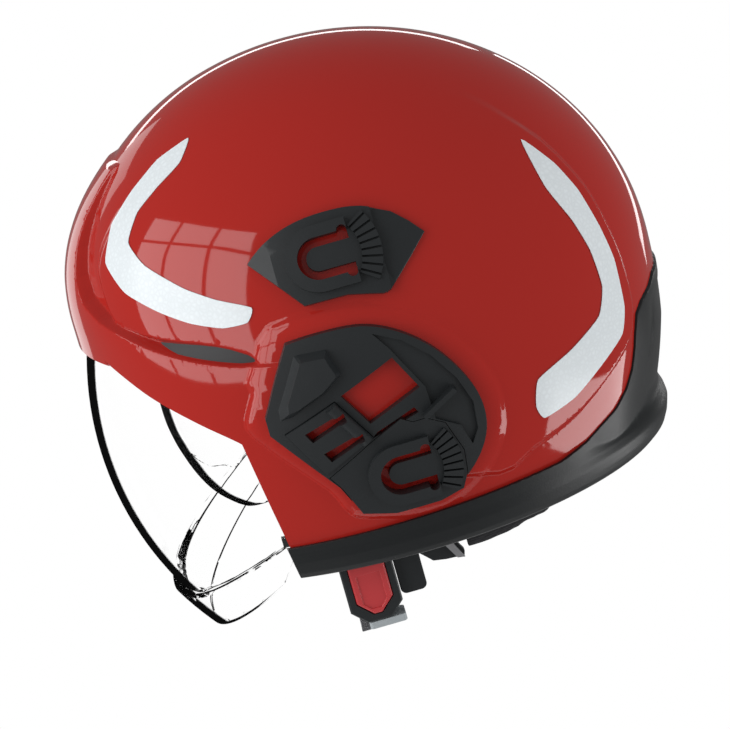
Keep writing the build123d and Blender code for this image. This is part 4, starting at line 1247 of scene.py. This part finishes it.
# ---- Neck guard ----
@dataclass
class NeckGuard:
    """The black rubber moulding on the rim: a channel with a hollow rear and a rolled lip."""

    shell: Shell
    bottom_z: float = -72.3
    rim_top_z: float = -69.2
    return_z: float = -59.0
    gap: float = 0.3
    return_wall: float = 3.0
    lead: float = 1.5
    hollow: float = 1.4
    hollow_edge: Span = (-0.8, 0.8)
    hollow_y: Span = (96.0, 112.0)
    hollow_back_y: float = 60.0
    rear_turn: Span = (0.62, 0.98)
    least_wall: float = 1.0
    lap: float = 0.4
    edge_inset: float = 1.2
    overturn: float = 0.62
    columns: int = 361
    section_rows: int = 44
    section_ends: tuple[float, float, float] = (0.012, 0.03, 0.97)
    search_start_z: float = -50.0
    search_steps: int = 30
    top_line: Points = ((-120.0, -56.0), (20.0, -52.3), (54.0, -51.5), (76.6, -51.0), (92.0, -47.5),
                        (100.6, -43.6), (110.3, -39.7), (119.0, -33.5), (124.5, -26.0), (127.5, -18.0),
                        (129.7, -9.8), (132.5, -1.5), (137.0, 2.5), (143.6, 5.3), (148.1, 8.7), (160.0, 9.5))
    ridge_line: Points = ((98.0, -52.0), (108.0, -46.6), (122.5, -43.0), (133.4, -33.0), (138.6, -24.0),
                          (143.6, -6.7), (143.1, 12.0))
    side_proud: Points = ((-72.3, 1.0), (-71.4, 2.6), (-69.0, 3.0), (-63.0, 2.9), (-58.0, 2.3), (-50.0, 2.0),
                          (20.0, 2.0))
    rear_proud: Points = ((-72.3, 1.2), (-71.0, 2.9), (-66.0, 3.6), (-61.0, 3.2), (-57.0, 1.4),
                          (-52.5, -1.8), (-48.0, -2.7), (-33.0, -1.2), (-18.0, 0.2), (0.0, 0.2), (20.0, 0.2))

    def top_at(self, theta: np.ndarray) -> np.ndarray:
        """Find the height of the moulding's upper edge in each direction.

        Args:
            theta: Directions about the vertical axis.

        Returns:
            The heights.
        """
        z = np.full(theta.shape, self.search_start_z)
        for _ in range(self.search_steps):
            y = self.shell.centre_y + self.shell.main_radius(theta, z) * np.sin(theta)
            z = 0.5 * z + 0.5 * np.interp(y, *zip(*self.top_line))
        return z

    def outer(self, theta: np.ndarray, z: np.ndarray) -> np.ndarray:
        """Horizontal radius of the moulding's outer face.

        Args:
            theta: Directions about the vertical axis.
            z: Heights.

        Returns:
            The radii in millimetres.
        """
        rear = smooth_step(np.sin(theta), *self.rear_turn)
        proud = (np.interp(z, *zip(*self.side_proud)) * (1.0 - rear)
                 + np.interp(z, *zip(*self.rear_proud)) * rear)
        base = self.shell.main_radius(theta, z)
        y = self.shell.centre_y + base * np.sin(theta)
        zone = list(self.ridge_line)
        zone += [(self.hollow_back_y, zone[-1][1]), (self.hollow_back_y, zone[0][1])]
        inside = smooth_step(signed_distance(y, z, zone), *self.hollow_edge)
        face = base + proud - self.hollow * inside * smooth_step(y, *self.hollow_y)
        return np.maximum(face, base - self.shell.tuck(theta, z) + self.least_wall)

    def rings(self, spread: np.ndarray) -> list[tuple[np.ndarray, np.ndarray]]:
        """List the section's corners from the upper edge down, round the return and back up inside.

        Args:
            spread: Directions of the sections.

        Returns:
            Horizontal radii and heights of each corner.
        """
        shell, tops = self.shell, self.top_at(spread)
        start, first, last = self.section_ends
        shares = np.concatenate([[0.0, start], np.linspace(first, last, self.section_rows), [1.0]])
        rings = []
        for share in shares:
            z = tops + (self.bottom_z - tops) * share
            rings.append((self.outer(spread, z), z))
        rings[0] = (rings[0][0] - self.edge_inset, rings[0][1])
        low, under, rim = (np.full(spread.shape, z) for z in (self.bottom_z, self.return_z, self.rim_top_z))
        skin = -shell.wall - self.gap
        for z, off in ((low, skin - self.return_wall), (under, skin - self.return_wall), (under, skin),
                       (rim, skin)):
            rings.append((shell.main_radius(spread, z) + off, z))
        for z, drop in ((rim, 0.0), (tops, self.gap)):
            rings.append((shell.main_radius(spread, z) - shell.tuck(spread, z) - self.lap, z - drop))
        return rings

    def build(self) -> list[bpy.types.Object]:
        """Sweep the channel's section round the rim and trim its front ends.

        Returns:
            The moulding, in place of the CAD node.
        """
        spread = np.linspace(-self.overturn, math.pi + self.overturn, self.columns)
        middle = self.shell.centre_y
        points = np.stack([np.stack([r * np.cos(spread), middle + r * np.sin(spread), z], axis=-1)
                           for r, z in self.rings(spread)])
        rows, columns = points.shape[:2]
        faces = grid_faces(columns, rows, True)
        faces += [list(range(rows)), list(range((columns - 1) * rows, columns * rows))]
        guard = make_object("neck_guard_moulding", points.transpose(1, 0, 2).reshape(-1, 3), faces,
                            BLACK_RUBBER.build())
        outward(guard)
        cut(guard, prism(self.shell.face_edge(self.lead), -FAR, FAR))
        rounded(guard, width=0.5, degrees=50.0)
        smooth(guard, degrees=40.0)
        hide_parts("neck_guard")
        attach(guard, "helmet")
        return [guard]


# ---- Soft parts ----
@dataclass
class Cushion:
    """A padded piece: the CAD solid remeshed, blown up by a short cloth run and smoothed."""

    node: str
    voxel: float = 3.0
    cap: float = 1.0
    shrink_share: float = 0.8
    pressure: float = 4.0
    fill: float = 0.6
    frames: int = 20
    smoothings: int = 3

    def build(self) -> list[bpy.types.Object]:
        """Make the pad in place of its CAD node.

        Returns:
            The pad.
        """
        made = merged_copy(self.node, f"{self.node}_padded", PADDING)
        mesh = made.data
        normals = np.empty(len(mesh.vertices) * 3)
        mesh.vertices.foreach_get("normal", normals)
        self.shift(mesh, -self.shrink_share * self.cap * MM * normals.reshape(-1, 3))
        step = made.modifiers.new("voxels", "REMESH")
        step.mode = "VOXEL"
        step.voxel_size = self.voxel * MM
        apply_modifiers(made)
        self.swell(made)
        step = made.modifiers.new("smooth", "SMOOTH")
        step.iterations = self.smoothings
        step = made.modifiers.new("finer", "SUBSURF")
        step.levels = 1
        apply_modifiers(made)
        outward(made)
        smooth(made, 180.0)
        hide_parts(self.node)
        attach(made, body_of_node(self.node))
        return [made]

    @staticmethod
    def shift(mesh: bpy.types.Mesh, by: np.ndarray) -> None:
        """Move a mesh's points.

        Args:
            mesh: The mesh to change.
            by: How far each point moves, in metres.
        """
        place = np.empty(len(mesh.vertices) * 3)
        mesh.vertices.foreach_get("co", place)
        mesh.vertices.foreach_set("co", (place.reshape(-1, 3) + by).ravel())
        mesh.update()

    def swell(self, made: bpy.types.Object) -> None:
        """Run the cloth and keep its points within the cap.

        Args:
            made: The pad to blow up.
        """
        scene = bpy.context.scene
        cloth = made.modifiers.new("swell", "CLOTH")
        cloth.settings.use_pressure = True
        cloth.settings.uniform_pressure_force = self.pressure
        cloth.settings.effector_weights.gravity = 0.0
        cloth.point_cache.frame_start = 1
        cloth.point_cache.frame_end = self.frames
        for frame in range(1, self.frames + 1):
            scene.frame_set(frame)
        count = len(made.data.vertices)
        swollen, rest = np.empty(count * 3), np.empty(count * 3)
        made.evaluated_get(bpy.context.evaluated_depsgraph_get()).data.vertices.foreach_get("co", swollen)
        made.data.vertices.foreach_get("co", rest)
        made.modifiers.remove(cloth)
        scene.frame_set(1)
        move = (swollen - rest).reshape(-1, 3)
        length = np.linalg.norm(move, axis=1)[:, None]
        self.shift(made.data, move * np.minimum(1.0, self.cap * MM / np.maximum(length, 1e-9)))


@dataclass
class Stitching:
    """Rows of stitches across a strap's end, laid out by a node tool."""

    count: int = 6
    pitch: float = 2.6
    length: float = 1.7
    thickness: float = 0.5

    def tool(self) -> bpy.types.NodeTree:
        """Make or find the node group that lays stitches along a line.

        Returns:
            A geometry node group with Count, Start, Step, Stitch and Material inputs.
        """
        known = bpy.data.node_groups.get("stitch row")
        if known:
            return known
        group = bpy.data.node_groups.new("stitch row", "GeometryNodeTree")
        group.interface.new_socket("Geometry", in_out="INPUT", socket_type="NodeSocketGeometry")
        group.interface.new_socket("Count", in_out="INPUT", socket_type="NodeSocketInt")
        for label in ("Start", "Step", "Stitch"):
            group.interface.new_socket(label, in_out="INPUT", socket_type="NodeSocketVector")
        group.interface.new_socket("Material", in_out="INPUT", socket_type="NodeSocketMaterial")
        group.interface.new_socket("Geometry", in_out="OUTPUT", socket_type="NodeSocketGeometry")
        nodes, links = group.nodes, group.links
        source, sink = nodes.new("NodeGroupInput"), nodes.new("NodeGroupOutput")
        line = nodes.new("GeometryNodeMeshLine")
        stitch = nodes.new("GeometryNodeMeshCube")
        spread = nodes.new("GeometryNodeInstanceOnPoints")
        real = nodes.new("GeometryNodeRealizeInstances")
        paint = nodes.new("GeometryNodeSetMaterial")
        links.new(source.outputs["Count"], line.inputs["Count"])
        links.new(source.outputs["Start"], line.inputs["Start Location"])
        links.new(source.outputs["Step"], line.inputs["Offset"])
        links.new(source.outputs["Stitch"], stitch.inputs["Size"])
        links.new(line.outputs["Mesh"], spread.inputs["Points"])
        links.new(stitch.outputs["Mesh"], spread.inputs["Instance"])
        links.new(spread.outputs["Instances"], real.inputs["Geometry"])
        links.new(real.outputs["Geometry"], paint.inputs["Geometry"])
        links.new(source.outputs["Material"], paint.inputs["Material"])
        links.new(paint.outputs["Geometry"], sink.inputs["Geometry"])
        return group

    def row(self, name: str, start: Sequence[float], body: str) -> bpy.types.Object:
        """Lay one row of stitches, towards the rear.

        Args:
            name: The piece's name.
            start: First stitch's place in millimetres.
            body: The body that carries the row.

        Returns:
            The row as one mesh.
        """
        made = make_object(name, np.zeros((0, 3)), [], WEBBING_THREAD.build())
        tool = made.modifiers.new("stitches", "NODES")
        tool.node_group = self.tool()
        stitch = (self.thickness, self.length, self.thickness)
        values = {"Count": self.count, "Start": [v * MM for v in start], "Step": [0.0, self.pitch * MM, 0.0],
                  "Stitch": [v * MM for v in stitch], "Material": WEBBING_THREAD.build()}
        for item in tool.node_group.interface.items_tree:
            if item.in_out == "INPUT" and item.name in values:
                tool[item.identifier] = values[item.name]
        apply_modifiers(made)
        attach(made, body)
        return made


@dataclass
class Straps:
    """The woven straps with their stitched upper ends."""

    drop: float = 9.0
    row_gap: float = 7.0
    rows: int = 2
    front_breadth: float = 30.0

    def build(self) -> list[bpy.types.Object]:
        """Dress each strap and sew its upper end.

        Returns:
            A strap and its rows of stitches for each side.
        """
        stitching = Stitching()
        pieces = []
        for side in Side:
            node = f"webbing_{side.name.lower()}"
            strap = softened_copy(node, WEBBING, 0.5, piece_name=f"{node}_woven")
            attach(strap, body_of_node(node))
            pieces.append(strap)
            corners = np.array([tuple(v.co) for v in strap.data.vertices]) / MM
            top = corners[:, 2].max()
            front = corners[corners[:, 2] > top - 0.5 * self.drop]
            front = front[front[:, 1] < front[:, 1].min() + self.front_breadth]
            middle = (front[:, 1].min() + front[:, 1].max()) / 2
            inner = corners[:, 0].min() if side is Side.LEFT else corners[:, 0].max()
            start = middle - stitching.pitch * (stitching.count - 1) / 2
            for k in range(self.rows):
                place = (inner, start, top - self.drop - k * self.row_gap)
                pieces.append(stitching.row(f"{node}_stitches_{k}", place, body_of_node(node)))
        return pieces


# ---- Studio ----
def direction(azimuth: float, elevation: float) -> Vector:
    """Unit vector from the helmet, by degrees from its left side towards the front and above level."""
    a, e = math.radians(azimuth), math.radians(elevation)
    return Vector((math.cos(e) * math.cos(a), -math.cos(e) * math.sin(a), math.sin(e)))


@dataclass(frozen=True)
class Panel:
    """A flat lamp that hangs in a direction from the helmet and faces it, in degrees and metres."""

    name: str
    azimuth: float
    elevation: float
    size: Span
    radiance: float
    away: float = 1.6
    roll: float = 0.0
    mirrored: bool = True

    def hang(self, shift: Span = (0.0, 0.0)) -> None:
        """Add the lamp to the scene.

        Args:
            shift: How far it is moved sideways and up in its own plane.
        """
        place = direction(self.azimuth, self.elevation) * self.away
        turn = place.to_track_quat("Z", "Y").to_matrix() @ Matrix.Rotation(math.radians(self.roll), 3, "Z")
        data = bpy.data.lights.new(self.name, "AREA")
        data.shape = "RECTANGLE"
        data.size, data.size_y = self.size
        data.energy = self.radiance * self.size[0] * self.size[1] * math.pi
        lamp = bpy.data.objects.new(self.name, data)
        lamp.visible_glossy = self.mirrored
        lamp.matrix_world = Matrix.Translation(place + turn @ Vector((*shift, 0.0))) @ turn.to_4x4()
        bpy.context.scene.collection.objects.link(lamp)


@dataclass
class Studio:
    """Camera at the photograph's angle, soft lamps, a pale floor and a white surround."""

    azimuth: float = 1.0
    elevation: float = 17.0
    roll: float = 15.6
    distance: float = 1.5
    pixels_per_mm: float = 2.0
    origin_px: Span = (358.0, 351.2)
    image_px: Span = (730.0, 729.0)
    sensor: float = 36.0
    clip: Span = (0.01, 50.0)
    window_place: Span = (64.0, 18.0)
    window_away: float = 1.65
    window_radiance: float = 2.65
    window_columns: tuple[float, ...] = (0.50, 0.52, 0.50)
    window_rows: tuple[float, ...] = (0.62, 0.78, 0.34)
    window_bar: float = 0.05
    panels: tuple[Panel, ...] = (
        Panel("front_panel", 147.0, 6.0, (0.55, 1.3), 1.1),
        Panel("crest_strip", 180.0, 16.0, (1.3, 0.10), 3.5, roll=4.0),
        Panel("rear_strip", -148.0, -5.0, (0.95, 0.12), 3.0, roll=38.0),
        Panel("low_rear_panel", -80.0, -34.0, (1.3, 0.35), 4.2),
        Panel("rear_fill", -70.0, 12.0, (1.6, 1.6), 0.85, mirrored=False),
    )
    light_level: float = 0.43
    mirror_level: float = 0.2
    floor_half: float = 320.0
    floor_z: float = -450.0

    def camera(self) -> None:
        """Set the camera so that the helmet's origin lands on its place in the picture."""
        data = bpy.data.cameras.new("camera")
        camera = bpy.data.objects.new("camera", data)
        bpy.context.scene.collection.objects.link(camera)
        toward = direction(self.azimuth, self.elevation)
        right = (-toward).cross(Vector((0, 0, 1))).normalized()
        up = right.cross(-toward)
        turn = math.radians(self.roll)
        axis_x = right * math.cos(turn) - up * math.sin(turn)
        axis_y = right * math.sin(turn) + up * math.cos(turn)
        turned = Matrix((axis_x, axis_y, toward)).transposed().to_4x4()
        camera.matrix_world = Matrix.Translation(toward * self.distance) @ turned
        field_mm = self.image_px[0] / self.pixels_per_mm
        data.sensor_width = self.sensor
        data.lens = self.sensor * self.distance * 1000.0 / field_mm
        data.shift_x = (self.image_px[0] / 2 - self.origin_px[0]) / self.image_px[0]
        data.shift_y = (self.origin_px[1] - self.image_px[1] / 2) / self.image_px[0]
        data.clip_start, data.clip_end = self.clip
        bpy.context.scene.camera = camera

    def window(self) -> None:
        """Hang a window of three by three panes in front of the helmet's left."""
        columns, rows, bar = self.window_columns, self.window_rows, self.window_bar
        left = -(sum(columns) + 2 * bar) / 2
        for i, width in enumerate(columns):
            low = -(sum(rows) + 2 * bar) / 2
            for j, height in enumerate(rows):
                pane = Panel(f"window_{i}_{j}", *self.window_place, (width, height), self.window_radiance,
                             self.window_away)
                pane.hang((left + width / 2, low + height / 2))
                low += height + bar
            left += width + bar

    def surround(self) -> None:
        """Make the world: white where it is seen or shines through, softer as light and in reflections."""
        world = bpy.data.worlds.new("surround")
        bpy.context.scene.world = world
        world.use_nodes = True
        nodes, links = world.node_tree.nodes, world.node_tree.links
        background = nodes["Background"]
        path = nodes.new("ShaderNodeLightPath")
        level = nodes.new("ShaderNodeMath")
        level.operation = "MAXIMUM"
        links.new(path.outputs["Is Camera Ray"], level.inputs[0])
        links.new(path.outputs["Is Transmission Ray"], level.inputs[1])
        mirrored = nodes.new("ShaderNodeMapRange")
        mirrored.inputs["To Min"].default_value = self.light_level
        mirrored.inputs["To Max"].default_value = self.mirror_level
        links.new(path.outputs["Is Glossy Ray"], mirrored.inputs["Value"])
        strength = nodes.new("ShaderNodeMath")
        strength.operation = "MAXIMUM"
        links.new(level.outputs[0], strength.inputs[0])
        links.new(mirrored.outputs["Result"], strength.inputs[1])
        background.inputs["Color"].default_value = (1.0, 1.0, 1.0, 1.0)
        links.new(strength.outputs[0], background.inputs["Strength"])

    def floor(self) -> None:
        """Lay a pale floor well below the helmet."""
        half, low = self.floor_half, self.floor_z
        points = [(-half, -half, low), (half, -half, low), (half, half, low), (-half, half, low)]
        make_object("floor", np.array(points), [[0, 1, 2, 3]], PALE_FLOOR.build())

    def build(self) -> None:
        """Set up the whole studio."""
        self.camera()
        self.surround()
        self.floor()
        self.window()
        for panel in self.panels:
            panel.hang()


# ---- Parts that keep their CAD shape ----
# Soft node, and the size of its mesh cells in millimetres
PADS = {"crown_pad": 3.0, "brow_pad": 3.0, "nape_pad": 3.0, "chin_pad": 3.0, "neck_pad_left": 2.0,
        "neck_pad_right": 2.0}


def stem_of(node: str) -> str:
    """Name a node without its side."""
    return node.removesuffix("_left").removesuffix("_right")


def body_of_node(node: str) -> str:
    """Name the body that carries a node.

    Args:
        node: The CAD node.

    Returns:
        The body's name in the record.
    """
    for body, nodes in FRAME["record"]["behaviour"]["bodies"].items():
        if node in nodes:
            return body
    return "helmet"


@dataclass
class Hardware:
    """Parts that keep their CAD shape: some as copies with rounded edges, the rest as they are."""

    # Stem of the node, its finish and the width of its rounding in millimetres
    softened: tuple[tuple[str, Finish, float], ...] = (
        ("chin_band", WEBBING, 0.4),
        ("side_cover", BLACK_PLASTIC, 0.5),
        ("adapter_clip", BLACK_PLASTIC, 0.35),
        ("lower_lamp_bracket", BLACK_PLASTIC, 0.4),
        ("upper_lamp_bracket", BLACK_PLASTIC, 0.4),
        ("buckle_body", BLACK_PLASTIC, 0.5),
        ("press_tab", TAB_RED, 0.4),
        ("buckle_tongue", GREY_PLASTIC, 0.3),
        ("strap_divider", BLACK_PLASTIC, 0.4),
        ("strap_slider", BLACK_PLASTIC, 0.3),
    )
    painted: tuple[tuple[str, Finish], ...] = (
        ("pivot_screws", STEEL),
        ("slider_bar", STEEL),
        ("ocular_mount", STEEL),
        ("impact_liner", FOAM),
    )
    other: Finish = BLACK_PLASTIC
    made_elsewhere: tuple[str, ...] = ("outer_shell", "face_shield", "ocular_visor", "neck_guard",
                                       "front_sticker", "rear_sticker", "webbing", *map(stem_of, PADS))

    def build(self) -> list[bpy.types.Object]:
        """Dress every node that no other class makes.

        Returns:
            The rounded copies and the nodes that are shown as they are.
        """
        softened = {stem: (finish, width) for stem, finish, width in self.softened}
        painted = dict(self.painted)
        pieces = []
        for node, shown in FRAME["nodes"].items():
            stem = stem_of(node)
            if stem in softened:
                shown = softened_copy(node, *softened[stem])
                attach(shown, body_of_node(node))
            elif stem in self.made_elsewhere:
                continue
            else:
                shown.data.materials.clear()
                shown.data.materials.append(painted.get(stem, self.other).build())
            pieces.append(shown)
        return pieces


def main() -> None:
    """Build the helmet's looks, one sub-assembly after another, and report each piece."""
    logging.basicConfig(level=logging.INFO)
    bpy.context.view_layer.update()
    bpy.context.scene.view_settings.view_transform = "Standard"
    Studio().build()
    shell = Shell()
    parts: list[Assembly] = [shell, Stickers(shell), FaceShield(), OcularVisor(), NeckGuard(shell)]
    parts += [Cushion(node, voxel) for node, voxel in PADS.items()]
    parts += [Straps(), Hardware()]
    for part in parts:
        for piece in part.build():
            LOG.info("%s: %s", type(part).__name__, piece.name)
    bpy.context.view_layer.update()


with open("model.json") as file:
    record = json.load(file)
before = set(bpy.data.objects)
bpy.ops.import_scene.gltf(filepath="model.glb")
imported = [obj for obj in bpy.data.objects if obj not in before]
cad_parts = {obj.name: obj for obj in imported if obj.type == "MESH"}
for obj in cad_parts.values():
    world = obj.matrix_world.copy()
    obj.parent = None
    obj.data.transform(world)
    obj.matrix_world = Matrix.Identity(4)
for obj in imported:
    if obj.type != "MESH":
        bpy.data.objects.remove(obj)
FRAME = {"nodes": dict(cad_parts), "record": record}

if __name__ == "__main__":
    main()
